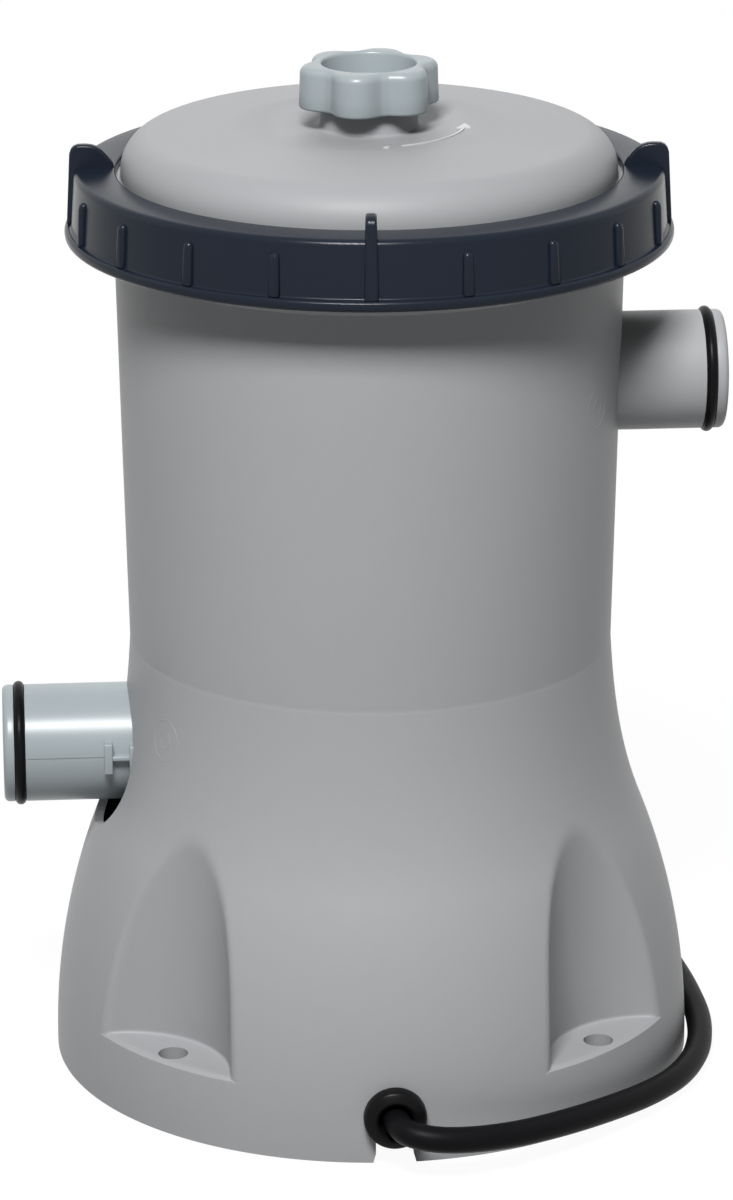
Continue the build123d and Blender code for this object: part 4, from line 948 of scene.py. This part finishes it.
TALL_FIN = [(77.2, 233.4), (80.4, 233.4), (79.4, 252.6), (79.0, 253.8), (78.3, 254.6), (77.2, 255.05),
            (75.0, 255.1), (73.6, 254.95), (72.1, 254.5), (70.7, 253.7), (69.5, 252.5), (68.5, 251.0),
            (67.8, 249.6), (67.5, 248.8), (67.5, 248.0), (77.2, 248.0)]
SHORT_RIB = [(77.2, 233.4), (80.4, 233.4), (79.9, 243.7), (79.6, 244.6), (79.0, 245.2), (78.2, 245.3),
             (77.2, 245.3)]
fin = upright_plate("tall_fin", TALL_FIN, 3.8, 1.25)
rib = upright_plate("short_rib", SHORT_RIB, 3.2, 1.1)
say_size(fin)
say_size(rib)

# %% [markdown]
# ## Geometry Nodes from Python
#
# A tree is easier to reuse when its sizes are named inputs. This helper makes a tree with such inputs, adds
# nodes as `Finish` does for shaders, and ends in Realize Instances and Set Material. `use_on` runs it on a
# piece and keeps plain mesh, since instances are lost when the pump is exported.


# %% A helper for Geometry Nodes trees
class Tree:
    """A Geometry Nodes tree with named inputs."""

    def __init__(self, name, **inputs):
        self.tree = bpy.data.node_groups.new(name, "GeometryNodeTree")
        self.names = {}
        for way in ("INPUT", "OUTPUT"):
            self.tree.interface.new_socket("Geometry", in_out=way, socket_type="NodeSocketGeometry")
        kinds = {int: "NodeSocketInt", float: "NodeSocketFloat", bpy.types.Object: "NodeSocketObject",
                 bpy.types.Material: "NodeSocketMaterial"}
        for label, value in inputs.items():
            kind = next(kinds[k] for k in kinds if isinstance(value, k))
            socket = self.tree.interface.new_socket(label, in_out="INPUT", socket_type=kind)
            self.names[label] = (socket.identifier, value)
        self.start = self.tree.nodes.new("NodeGroupInput")
        self.end = self.tree.nodes.new("NodeGroupOutput")

    def given(self, label):
        return self.start.outputs[label]

    def node(self, kind, settings=None, links=None, output=0):
        node = self.tree.nodes.new(kind)
        for name, value in (settings or {}).items():
            setattr(node, name, value)
        for name, value in (links or {}).items():
            for each in value if isinstance(value, list) else [value]:
                if isinstance(each, bpy.types.NodeSocket):
                    self.tree.links.new(each, node.inputs[name])
                else:
                    node.inputs[name].default_value = each
        return node.outputs[output]

    def finish(self, shape):
        """Real mesh with its material, as the tree's result."""
        real = self.node("GeometryNodeRealizeInstances", None, {"Geometry": shape})
        dressed = self.node("GeometryNodeSetMaterial", None, {"Geometry": real,
                                                              "Material": self.given("Finish")})
        self.tree.links.new(dressed, self.end.inputs[0])

    def use_on(self, piece):
        """Run the tree on a piece and keep the result as plain mesh."""
        user = piece.modifiers.new(self.tree.name, "NODES")
        user.node_group = self.tree
        for identifier, value in self.names.values():
            user[identifier] = value
        baked(piece)


print("Tree:", Tree.__doc__)

# %% [markdown]
# Twenty places stand round the ring, every fifth one a tall fin and the rest short ribs. A rule like that is
# a job for Geometry Nodes. The tree puts a point at each place, turns it to face outwards, and sets a fin or
# a rib on it. The plates are drawn where they belong, at the ring's radius, so the points can all stay on
# the axis.


# %% Fins and ribs set round the ring
def grips_tree():
    tree = Tree("grips", Places=20, Fin_every=5, First=radians(-93.7), Fin=fin, Rib=rib, Finish=RING_NAVY)
    points = tree.node("GeometryNodePoints", None, {"Count": tree.given("Places")})
    index = tree.node("GeometryNodeInputIndex")
    step = tree.node("ShaderNodeMath", {"operation": "DIVIDE"}, {0: tau, 1: tree.given("Places")})
    turn = tree.node("ShaderNodeMath", {"operation": "MULTIPLY_ADD"},
                     {0: index, 1: step, 2: tree.given("First")})
    facing = tree.node("ShaderNodeCombineXYZ", None, {"Z": turn})
    rest = tree.node("ShaderNodeMath", {"operation": "FLOORED_MODULO"},
                     {0: index, 1: tree.given("Fin_every")})
    is_fin = tree.node("FunctionNodeCompare", {"data_type": "FLOAT", "operation": "LESS_THAN"},
                       {0: rest, 1: 0.5})
    is_rib = tree.node("FunctionNodeBooleanMath", {"operation": "NOT"}, {0: is_fin})
    shapes = []
    for label, chosen in (("Fin", is_fin), ("Rib", is_rib)):
        shape = tree.node("GeometryNodeObjectInfo", None, {"Object": tree.given(label)}, "Geometry")
        shapes.append(tree.node("GeometryNodeInstanceOnPoints", None, {
            "Points": points, "Selection": chosen, "Instance": shape, "Rotation": facing}))
    tree.finish(tree.node("GeometryNodeJoinGeometry", None,
                          {"Geometry": [tree.given("Geometry"), *shapes]}))
    return tree


grips_tree().use_on(ring)
for pattern in (fin, rib):
    bpy.data.objects.remove(pattern)
finish_piece(ring, RING_NAVY, "ring", ("locking_ring",))
print("ring of", len(ring.data.polygons), "faces")

# %% [markdown]
# ## The lid
#
# The lid is a shallow dome with a dished middle and a short nozzle. It is turned like the ring. The dome is
# an arc of a large circle and its edge an arc of a small one, and the two meet where they lean alike, so no
# crease shows. The dish is eased in and out with a cubic.

# %% The lid's line
DOME_TOP, DOME_R = 262.2, 442.0
DISH_R, NOZZLE_R, DISH_Z = 33.0, 13.0, 259.8
LID_EDGE_R, LID_EDGE_AT = 9.8, (56.1, 248.8)


def eased(share):
    """0 to 1, with a level start and end."""
    return share * share * (3 - 2 * share)


def dome(r):
    return DOME_TOP - DOME_R + sqrt(DOME_R ** 2 - r * r)


def lid_top(r):
    """Height of the lid's upper face between the nozzle and the round edge."""
    if r >= DISH_R:
        return dome(r)
    return DISH_Z + (dome(DISH_R) - DISH_Z) * eased((r - NOZZLE_R) / (DISH_R - NOZZLE_R))


LEAN = asin((65.9 - LID_EDGE_R) / (DOME_R - LID_EDGE_R))     # where the dome and its edge lean alike
EDGE_ARC = [(LID_EDGE_AT[0] + LID_EDGE_R * sin(a), LID_EDGE_AT[1] + LID_EDGE_R * cos(a))
            for a in [LEAN + (pi / 2 - LEAN) * n / 14 for n in range(15)]]
LID_LINE = ([(4.05, 252.0), (4.05, 266.9), (4.35, 267.2), (12.3, 267.2), (12.75, 267.0), (13.0, 266.5),
             (13.0, 260.6), (13.25, 260.05), (14.0, 259.82)]
            + [(r, lid_top(r)) for r in (15.5, 17, 19, 21, 23, 25, 27, 29, 31, 33, 36, 40, 44, 48, 52, 55)]
            + EDGE_ARC
            + [(65.9, 247.0), (66.2, 246.6), (72.7, 246.6), (73.0, 246.3), (73.0, 244.3), (72.7, 244.0),
               (62.9, 244.0), (62.9, 248.8), (61.0, 254.4), (56.1, 255.5), (38.0, 257.3), (13.0, 256.9),
               (7.0, 256.8), (7.0, 252.0)])
lid = new_object("lid_shell", [turned(LID_LINE, 240)])
finish_piece(lid, LID_GREY, "lid", ("lid_dome",))
say_size(lid)

# %% [markdown]
# An arrow with a dot before it, raised by a third of a millimetre, shows which way something turns. Raised
# marks on a moulding are solid, so they are made as solids that sit a little way into the dome: bands round
# the lid's middle. A band's half width is a function of the share along it, which makes the arrow's stem,
# its head and the dot with one helper.

# %% Raised arrow and dot
MARK_UP, MARK_SUNK = 0.3, 0.3
ARROW_FROM, ARROW_NECK, ARROW_TIP = -77.0, -20.0, -8.0      # bearings, in degrees
STEM_HALF, HEAD_HALF, TIP_HALF, DOT_HALF, DOT_AT = 0.35, 2.0, 0.02, 0.9, 29.6


def raised_band(middle, half, start, end, steps):
    """A band on the lid's face; middle is its radius at a bearing, and half its half width at a share."""
    verts, rings = [], []
    for n in range(steps + 1):
        share = n / steps
        bearing = start + (end - start) * share
        inner, outer, turn = middle(bearing) - half(share), middle(bearing) + half(share), radians(bearing)
        rings.append(list(range(len(verts), len(verts) + 4)))
        for r, lift in ((inner, -MARK_SUNK), (outer, -MARK_SUNK), (outer, MARK_UP), (inner, MARK_UP)):
            verts.append((r * cos(turn) * MM, r * sin(turn) * MM, (lid_top(r) + lift) * MM))
    return verts, skin(rings, closed=False) + [rings[0], rings[-1][::-1]]


def arrow_r(bearing):
    """The arrow draws in a little towards its head."""
    return 28.6 - 3.4 * (bearing - ARROW_FROM) / (ARROW_TIP - ARROW_FROM)


stem = raised_band(arrow_r, lambda share: STEM_HALF, ARROW_FROM, ARROW_NECK, 40)
head = raised_band(arrow_r, lambda share: HEAD_HALF * (1 - share) + TIP_HALF, ARROW_NECK, ARROW_TIP, 8)
dot = raised_band(lambda bearing: DOT_AT, lambda share: DOT_HALF * sin(pi * (0.04 + 0.92 * share)),
                  -87.0, -83.5, 12)
marks = new_object("lid_marks", [stem, head, dot])
# the marks' lighter grey is partly stress whitening and partly a painted highlight
finish_piece(marks, MARK_WHITENING_AND_HIGHLIGHT, "lid")
say_size(marks)

# %% [markdown]
# ## The knob
#
# Six finger lobes, a rounded top edge and a deep cup. The outline is worked out from two circles, the lobe's
# and the waist's, blended with the same smooth maximum as the housing. Each row of the grid is that outline,
# drawn in by the rounding at its height.

# %% The knob's outline and rows
LOBES, LOBE_AT, LOBE_R, KNOB_WAIST, FIRST_LOBE, LOBE_BLEND = 6, 12.5, 6.5, 15.8, 12.0, 1.8
KNOB_LOW, KNOB_TOP = 265.7, 277.0
LIP, TOP_EDGE = 0.7, 2.2              # roundings of the lower and cup edges, and of the top edge
QUARTER_TURN = (0, 0.5, 1.0, pi / 2)


def knob_outline(turn):
    off = (turn - radians(FIRST_LOBE)) % (tau / LOBES)
    off = min(off, tau / LOBES - off)
    lobe = LOBE_AT * cos(off) + sqrt(max(0.0, LOBE_R ** 2 - (LOBE_AT * sin(off)) ** 2))
    return smooth_max(KNOB_WAIST, lobe, LOBE_BLEND)


def knob_rows():
    """Each row as (inset from the outline or None, radius or None, height)."""
    rows = [(LIP * (1 - sin(a)), None, KNOB_LOW + LIP * (1 - cos(a))) for a in QUARTER_TURN]
    rows += [(0.15, None, 270.0), (0.3, None, KNOB_TOP - TOP_EDGE)]
    rows += [(0.3 + 2.1 * (1 - cos(a)), None, KNOB_TOP - TOP_EDGE + TOP_EDGE * sin(a))
             for a in [pi / 2 * n / 6 for n in range(1, 7)]]
    rows += [(None, 12.5 + LIP * (1 - sin(a)), KNOB_TOP - LIP * (1 - cos(a))) for a in QUARTER_TURN]
    rows += [(None, r, z) for r, z in (
        (12.3, 271.3), (11.8, 270.7), (11.0, 270.5), (0.0, 270.5), (0.0, 269.5), (4.05, 269.5),
        (4.05, 267.7), (13.5, 267.6), (13.5, KNOB_LOW))]
    return rows


print(len(knob_rows()), "rows;", round(knob_outline(radians(FIRST_LOBE)), 1), "mm to the end of a lobe")


# %% The knob
def knob_shell(steps):
    verts, rings = [], []
    for inset, radius, z in knob_rows():
        start, count = len(verts), 1 if radius == 0.0 else steps
        for step in range(count):
            turn = tau * step / steps
            r = radius if radius is not None else knob_outline(turn) - inset
            verts.append((r * cos(turn) * MM, r * sin(turn) * MM, z * MM))
        rings.append([start + step % count for step in range(steps)])
    return verts, skin(rings)


knob = new_object("knob", [knob_shell(240)])
finish_piece(knob, PORT_GREY, "knob", ("air_valve_knob",))
say_size(knob)

# %% [markdown]
# ## Spigots
#
# Each spigot ends in a rounded lip, with a groove behind it that holds an O-ring. One function draws both,
# turned about X: it is given the end and the root, and the sign of the end says which way is outwards.

# %% The inlet spigot
SPIGOT_R, BORE_R, GROOVE_R, GROOVE_HALF, GROOVE_BACK = 16.0, 13.0, 13.95, 1.5, 4.5


def spigot(end, root, z):
    """A spigot's shell from its end back to its root, with its axis at height z; all in mm."""
    way = 1 if end > 0 else -1
    middle = end - way * GROOVE_BACK
    near, far = middle + way * GROOVE_HALF, middle - way * GROOVE_HALF
    line = rounded([
        (13.7, end, 0.5), (SPIGOT_R, end, 1.5), (SPIGOT_R, near, 0.15), (GROOVE_R, near, 0.1),
        (GROOVE_R, far, 0.1), (SPIGOT_R, far, 0.15), (SPIGOT_R, root, 0), (BORE_R, root, 0),
        (BORE_R, end - way * 0.7, 0.3)])
    return turned(line, 160, (0, 0, z), "X")


inlet = new_object("inlet_spigot", [spigot(95.2, 64.7, INLET_Z)])
finish_piece(inlet, TANK_GREY, "housing", ("upper_spigot",))
say_size(inlet)

# %% [markdown]
# The outlet has a thin flash line along its front, where the two halves of its mould met, and a small
# locating key beside it: a web between two tabs, which stops it from turning in the window. The tabs and the
# web are blocks with rounded edges.

# %% The outlet and its locating key
OUTLET_Z = 88.7
KEY = (("key_front_tab", (-73.55, -18.9, 85.65), (-71.25, -14.0, 94.15)),
       ("key_back_tab", (-66.7, -18.9, 86.4), (-65.5, -14.0, 93.4)),
       ("key_web", (-72.4, -18.4, 89.25), (-66.1, -14.0, 90.55)))
KEY_SOFT = 0.3


def mesh_box(low, high):
    """Vertices and faces of a block, in mm."""
    verts = [(x * MM, y * MM, z * MM) for z in (low[2], high[2]) for y in (low[1], high[1])
             for x in (low[0], high[0])]
    return verts, [(0, 2, 3, 1), (4, 5, 7, 6), (0, 1, 5, 4), (2, 6, 7, 3), (0, 4, 6, 2), (1, 3, 7, 5)]


flash_line = mesh_box((-94.4, -16.12, 89.75), (-73.0, -15.6, 90.05))
outlet = new_object("outlet_spigot", [spigot(-100.8, -36.0, OUTLET_Z), flash_line])
for name, low, high in KEY:
    block = softened(new_object(name, [mesh_box(low, high)]), KEY_SOFT)
    tidy_mesh(block.data)
    finish_piece(block, PORT_GREY, "housing")
say_size(outlet)

# %% [markdown]
# The outlet and the pump's cup are one moulding. The cup stands upright under the deck, with a flange for
# six screws, and its mouth opens into the spigot.

# %% The pump's cup
CUP_LINE = rounded([
    (12.8, 66.0, 0.3), (40.0, 66.0, 1.6), (40.0, 100.9, 0.8), (51.0, 100.9, 0.6), (51.0, 103.9, 0.4),
    (43.0, 103.9, 0.4), (43.0, 105.4, 0.3), (38.0, 105.4, 0.2), (38.0, 102.4, 0.1), (36.0, 102.4, 0.2),
    (36.0, 69.0, 1.2), (12.8, 69.0, 0.3)])
cup = new_object("pump_cup", [turned(CUP_LINE, 160)])
cut(cup, round_cutter("cup_mouth", BORE_R, -42.0, 12.0, (0, 0, OUTLET_Z), "X"),
    *drills("flange_hole", 2.1, 98.0, 8.0, FLANGE_SCREWS))
finish_piece(outlet, PORT_GREY, "housing", ("pump_chamber",))
finish_piece(cup, PORT_GREY, "housing")
print("cup of", len(cup.data.polygons), "faces")

# %% [markdown]
# ## Small marks of the mould
#
# Where a mould has an insert, a faint raised ring stays on the wall. A ring on a curved wall is drawn on
# the tangent plane, and each of its points is then pushed in or out to the wall.


# %% Raised rings on the tank's wall
def wall_r(z):
    """The housing's radius at a height, away from the pockets and up to the shoulder."""
    if z < WAIST_Z:
        return flare(z)
    return WAIST_R + (SHOULDER_R - WAIST_R) * (z - WAIST_Z) / (SHOULDER_Z - WAIST_Z)


def wall_ring(bearing, height, radius, width, proud, sunk, steps):
    """A ring round a place on the wall; its edges are sunk and its crest stands proud, in mm."""
    verts, faces = [], []
    for n in range(steps):
        a = tau * n / steps
        for reach, lift in ((radius - width / 2, -sunk), (radius - width / 4, proud),
                            (radius + width / 4, proud), (radius + width / 2, -sunk)):
            z = height + reach * sin(a)
            turn = radians(bearing) + reach * cos(a) / wall_r(z)
            r = wall_r(z) + lift
            verts.append((r * cos(turn) * MM, r * sin(turn) * MM, z * MM))
    for n in range(steps):
        here, there = 4 * n, 4 * ((n + 1) % steps)
        faces += [(here + k, there + k, there + (k + 1) % 4, here + (k + 1) % 4) for k in range(4)]
    return verts, faces


INSERTS = ((-149, 101), (-31, 191))   # bearing in degrees and height of each insert's middle
rings = [wall_ring(bearing, height, radius, 0.7, 0.05, 0.2, 72) for bearing, height in INSERTS
         for radius in (5.5, 2.2)]
finish_piece(new_object("mould_rings", rings), TANK_GREY, "housing")
print(len(rings), "rings")

# %% [markdown]
# ## The cartridge
#
# Filter paper is one long strip, folded to and fro and closed to a star. That is a rule, so Geometry Nodes
# make it: a star curve with rounded folds, drawn out to the cartridge's height. Rounding a fold this narrow
# draws its tip in by several times the radius, so the paper ends inside the star's outer radius. A real
# pleat has paper's thickness, which Solidify adds.


# %% Pleated paper
def pleats_tree():
    tree = Tree("pleats", Folds=44, Inner=0.0285, Outer=0.0508, Height=0.128, Bottom=0.1155,
                Rounding=0.0006, Finish=FILTER_PAPER)
    star = tree.node("GeometryNodeCurveStar", None, {
        "Points": tree.given("Folds"), "Inner Radius": tree.given("Inner"),
        "Outer Radius": tree.given("Outer")}, "Curve")
    soft = tree.node("GeometryNodeFilletCurve", None, {"Curve": star, "Radius": tree.given("Rounding")})
    soft.node.mode = "POLY"
    soft.node.inputs["Count"].default_value = 3
    strip = tree.node("GeometryNodeCurveToMesh", None, {"Curve": soft})
    up = tree.node("ShaderNodeCombineXYZ", None, {"Z": tree.given("Height")})
    drawn = tree.node("GeometryNodeExtrudeMesh", {"mode": "EDGES"}, {"Mesh": strip, "Offset": up})
    base = tree.node("ShaderNodeCombineXYZ", None, {"Z": tree.given("Bottom")})
    tree.finish(tree.node("GeometryNodeTransform", None, {"Geometry": drawn, "Translation": base}))
    return tree


paper = new_object("pleated_paper", [([(0, 0, 0)], [])])
pleats_tree().use_on(paper)
wall = paper.modifiers.new("thickness", "SOLIDIFY")
wall.thickness, wall.offset, wall.use_even_offset = 0.5 * MM, 0.0, False
baked(paper)
tidy_mesh(paper.data)
finish_piece(paper, FILTER_PAPER, "cartridge", ("cartridge_pleats",))
say_size(paper)

# %% [markdown]
# The paper's ends stand in two caps of soft plastic, cast round them. A cap is a dish with a hole, and the
# second is the first turned over, so one function draws both: `way` says to which side of the outer face
# the dish opens.


# %% End caps
def cap_line(face, way):
    return rounded([(22.4, face, 0.9), (53.0, face, 1.4), (53.0, face + way * 7, 0.4),
                    (51.8, face + way * 7, 0.3), (51.8, face + way * 4, 0.3), (22.4, face + way * 4, 0.5)])


for name, face, way in (("top_cap", 247.5, -1), ("bottom_cap", 111.5, 1)):
    cap = new_object(name, [turned(cap_line(face, way), 144)])
    finish_piece(cap, CAP_BLUE, "cartridge", ("cartridge_" + name,))
    say_size(cap)

# %% [markdown]
# ## Screws
#
# Four sets of pan-head screws differ in size and place only. One screw is made for each set: a domed head
# with a cross-shaped recess on a threaded shank. At this size a thread is seen as a row of ridges, so it is
# turned with the shank, and not wound as a helix.

# %% One screw
THREAD_STEP, RIDGE_STEP, CORE_SHARE = 0.7, 0.35, 0.8


def screw(name, head_r, head_h, shank_r, length):
    """A screw with its head's underside at height 0; all in mm. The head's edge is a third of its height."""
    domed = [(head_r * sin(a), head_h * (0.35 + 0.65 * cos(a))) for a in [pi / 2 * n / 7 for n in range(8)]]
    thread, at = [], -0.8
    while at > -length + 1.2:
        thread += [(shank_r, at), (shank_r * CORE_SHARE, at - RIDGE_STEP)]
        at -= THREAD_STEP
    line = (domed + [(head_r, 0.0), (shank_r, 0.0)] + thread
            + [(shank_r * 0.7, -length + 0.5), (0.0, -length)])
    made = new_object(name, [turned(line, 28)])
    arm, half = head_r * 0.56, head_r * 0.11
    cross = [new_object(f"{name}_arm_{n}", [mesh_box((-a, -b, head_h * 0.35), (a, b, head_h * 2))])
             for n, (a, b) in enumerate(((arm, half), (half, arm)))]
    cut(made, *cross)
    return made


print("a thread's ridges are", THREAD_STEP, "mm apart")

# %% [markdown]
# A tree sets a screw at the corners of a small mesh that holds only places. It turns each by a chance angle,
# because no one lines screws up, and the set's seed keeps those angles the same in each run. Flip turns a
# set over, for screws that are driven from below.


# %% A set of screws
def screws_tree(pattern, flip, seed):
    tree = Tree("screws", Screw=pattern, Flip=flip, Seed=seed, Finish=SCREW_STEEL)
    chance = tree.node("FunctionNodeRandomValue", {"data_type": "FLOAT"}, {"Seed": tree.given("Seed")}, 1)
    chance.node.inputs[3].default_value = tau          # the upper end of its range of numbers
    turn = tree.node("ShaderNodeCombineXYZ", None, {"X": tree.given("Flip"), "Z": chance})
    shape = tree.node("GeometryNodeObjectInfo", None, {"Object": tree.given("Screw")}, "Geometry")
    tree.finish(tree.node("GeometryNodeInstanceOnPoints", None, {
        "Points": tree.given("Geometry"), "Instance": shape, "Rotation": turn}))
    return tree


def screw_set(name, spots, under_head, size, flip, node, seed):
    pattern = screw(name + "_pattern", *size)
    holder = linked(name, bpy.data.meshes.new(name))
    holder.data.from_pydata([(x * MM, y * MM, under_head * MM) for x, y in spots], [], [])
    screws_tree(pattern, flip, seed).use_on(holder)
    bpy.data.objects.remove(pattern)
    crisp(holder.data)
    finish_piece(holder, SCREW_STEEL, "housing", (node,))
    say_size(holder)


UPSIDE_DOWN = pi
CASE_SCREWS = [(x, y) for x in (-31, 31) for y in (-17, 49)]
CLAMP_SCREWS = [(-9.5, -68), (9.5, -68)]
screw_set("base_screws", BASE_SCREWS, 2.2, (3.1, 1.9, 1.6, 13.0), UPSIDE_DOWN, "base_plate_screws", 1)
screw_set("flange_screws", FLANGE_SCREWS, 100.9, (3.4, 2.4, 1.9, 7.6), UPSIDE_DOWN, "chamber_screws", 2)
screw_set("case_screws", CASE_SCREWS, 63.0, (2.8, 1.8, 1.5, 12.0), 0.0, "motor_case_screws", 3)
screw_set("strap_screws", CLAMP_SCREWS, 13.5, (2.5, 1.6, 1.3, 8.5), 0.0, "clamp_screws", 4)

# %% [markdown]
# ## The grommet
#
# The grommet is one rubber moulding, turned about Y: a groove that grips the wall round the notch, a round
# bead outside, and a mouth a little wider than the lead.

# %% The grommet
GROMMET_LINE = rounded([
    (3.53, -81.2, 0.2), (7.4, -81.2, 0.5), (7.4, -83.6, 0.5), (4.9, -83.6, 0.1), (4.9, -87.75, 0.1),
    (8.5, -87.75, 0.9), (8.2, -91.4, 1.6), (5.6, -92.8, 0.8), (4.6, -92.2, 0.5), (4.35, -89.2, 0.4),
    (3.53, -88.2, 0.2)])
grommet = new_object("grommet", [turned(GROMMET_LINE, 96, (0, 0, GROMMET_Z), "Y")])
finish_piece(grommet, BLACK_RUBBER, "housing", ("cable_grommet",))
say_size(grommet)

# %% [markdown]
# ## The plug
#
# The plug is moulded onto the lead's end. Its sections are rounded rectangles that widen from the lead to the
# body, and the narrow part has grooves, so that it bends instead of breaking the wires. A superellipse gives
# such a section with one number for how square it is.

# %% The plug's sections
PLUG_AT = Vector((-29.65, 141.8, 7.0))
PLUG_WAY = Vector((-5.0, 12.0, 0.0)).normalized()
PLUG_SIDE = PLUG_WAY.cross(Vector((0, 0, 1)))
NECK_LENGTH, NECK_HALF, GROOVE_DEPTH, GROOVE_STEP, GROOVE_WIDTH = 20, 4.6, 0.7, 3.0, 1.3


def plug_section(along, half_w, half_t, square, steps=48):
    """A rounded rectangle across the plug; square 2 is an ellipse, and more is squarer."""
    ring = []
    for n in range(steps):
        a = tau * n / steps
        x = half_w * abs(cos(a)) ** (2 / square) * (1 if cos(a) >= 0 else -1)
        y = half_t * abs(sin(a)) ** (2 / square) * (1 if sin(a) >= 0 else -1)
        ring.append(tuple((PLUG_AT + PLUG_WAY * along + PLUG_SIDE * x + Vector((0, 0, y))) * MM))
    return ring


def plug_sections():
    """Each section as (distance along, half width, half thickness, squareness)."""
    sections = [(0.0, NECK_HALF, NECK_HALF, 2.0)]
    for n in range(40):
        along = 0.3 + 19.7 * n / 39
        share = along / NECK_LENGTH
        depth = GROOVE_DEPTH if 3 < along < 18 and along % GROOVE_STEP < GROOVE_WIDTH else 0.0
        sections.append((along, NECK_HALF + 1.8 * share - depth, NECK_HALF + 0.5 * share - depth,
                         2.0 + 0.5 * share))
    for n in range(1, 13):
        share = n / 12
        sections.append((NECK_LENGTH + 22.3 * share, 6.6 + 10.8 * eased(share), 5.3 + 1.45 * eased(share),
                         2.5 + 2.0 * eased(share)))
    return sections + [(54.0, 17.4, 6.75, 4.5), (55.2, 17.1, 6.5, 4.5), (55.8, 16.4, 5.9, 4.3),
                       (56.0, 15.2, 5.0, 4.2)]


print(len(plug_sections()), "sections over", plug_sections()[-1][0], "mm")

# %% [markdown]
# The plug's shell joins its sections one after another and closes both ends.


# %% The plug
def plug_shell():
    verts, rings = [], []
    for section in plug_sections():
        ring = plug_section(*section)
        rings.append(list(range(len(verts), len(verts) + len(ring))))
        verts += ring
    return verts, skin(rings, closed=False) + [rings[0], rings[-1][::-1]]


plug = new_object("mains_plug_body", [plug_shell()])
finish_piece(plug, CABLE_BLACK, "housing", ("mains_plug",))
say_size(plug)

# %% [markdown]
# ## What stays as it was modelled
#
# Many inner pieces are right as the packed model has them. They only need their finish, and the record says
# which: each piece's slot has the name of one of the materials above.

# %% Finishes for the packed pieces
SLOT_FINISHES = {material.name: material for material in bpy.data.materials}
for entry in frame["record"]["subparts"]:
    kept = frame["nodes"][entry["node"]]
    kept.data.materials.clear()
    kept.data.materials.append(SLOT_FINISHES[entry["material_slot"]])
print(len(frame["nodes"]), "packed pieces have their finish")

# %% [markdown]
# ## The box at the end
#
# The dressed pump must fit in the packed model's box. The print gives how far the dressed pump's box
# reaches past the packed model's box on each side, in mm.

# %% Write how far the box grew
low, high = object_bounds()
print("grew by", [round((a - b) / MM, 2) for a, b in zip((*CAD_LOW, *high), (*low, *CAD_HIGH))], "mm")
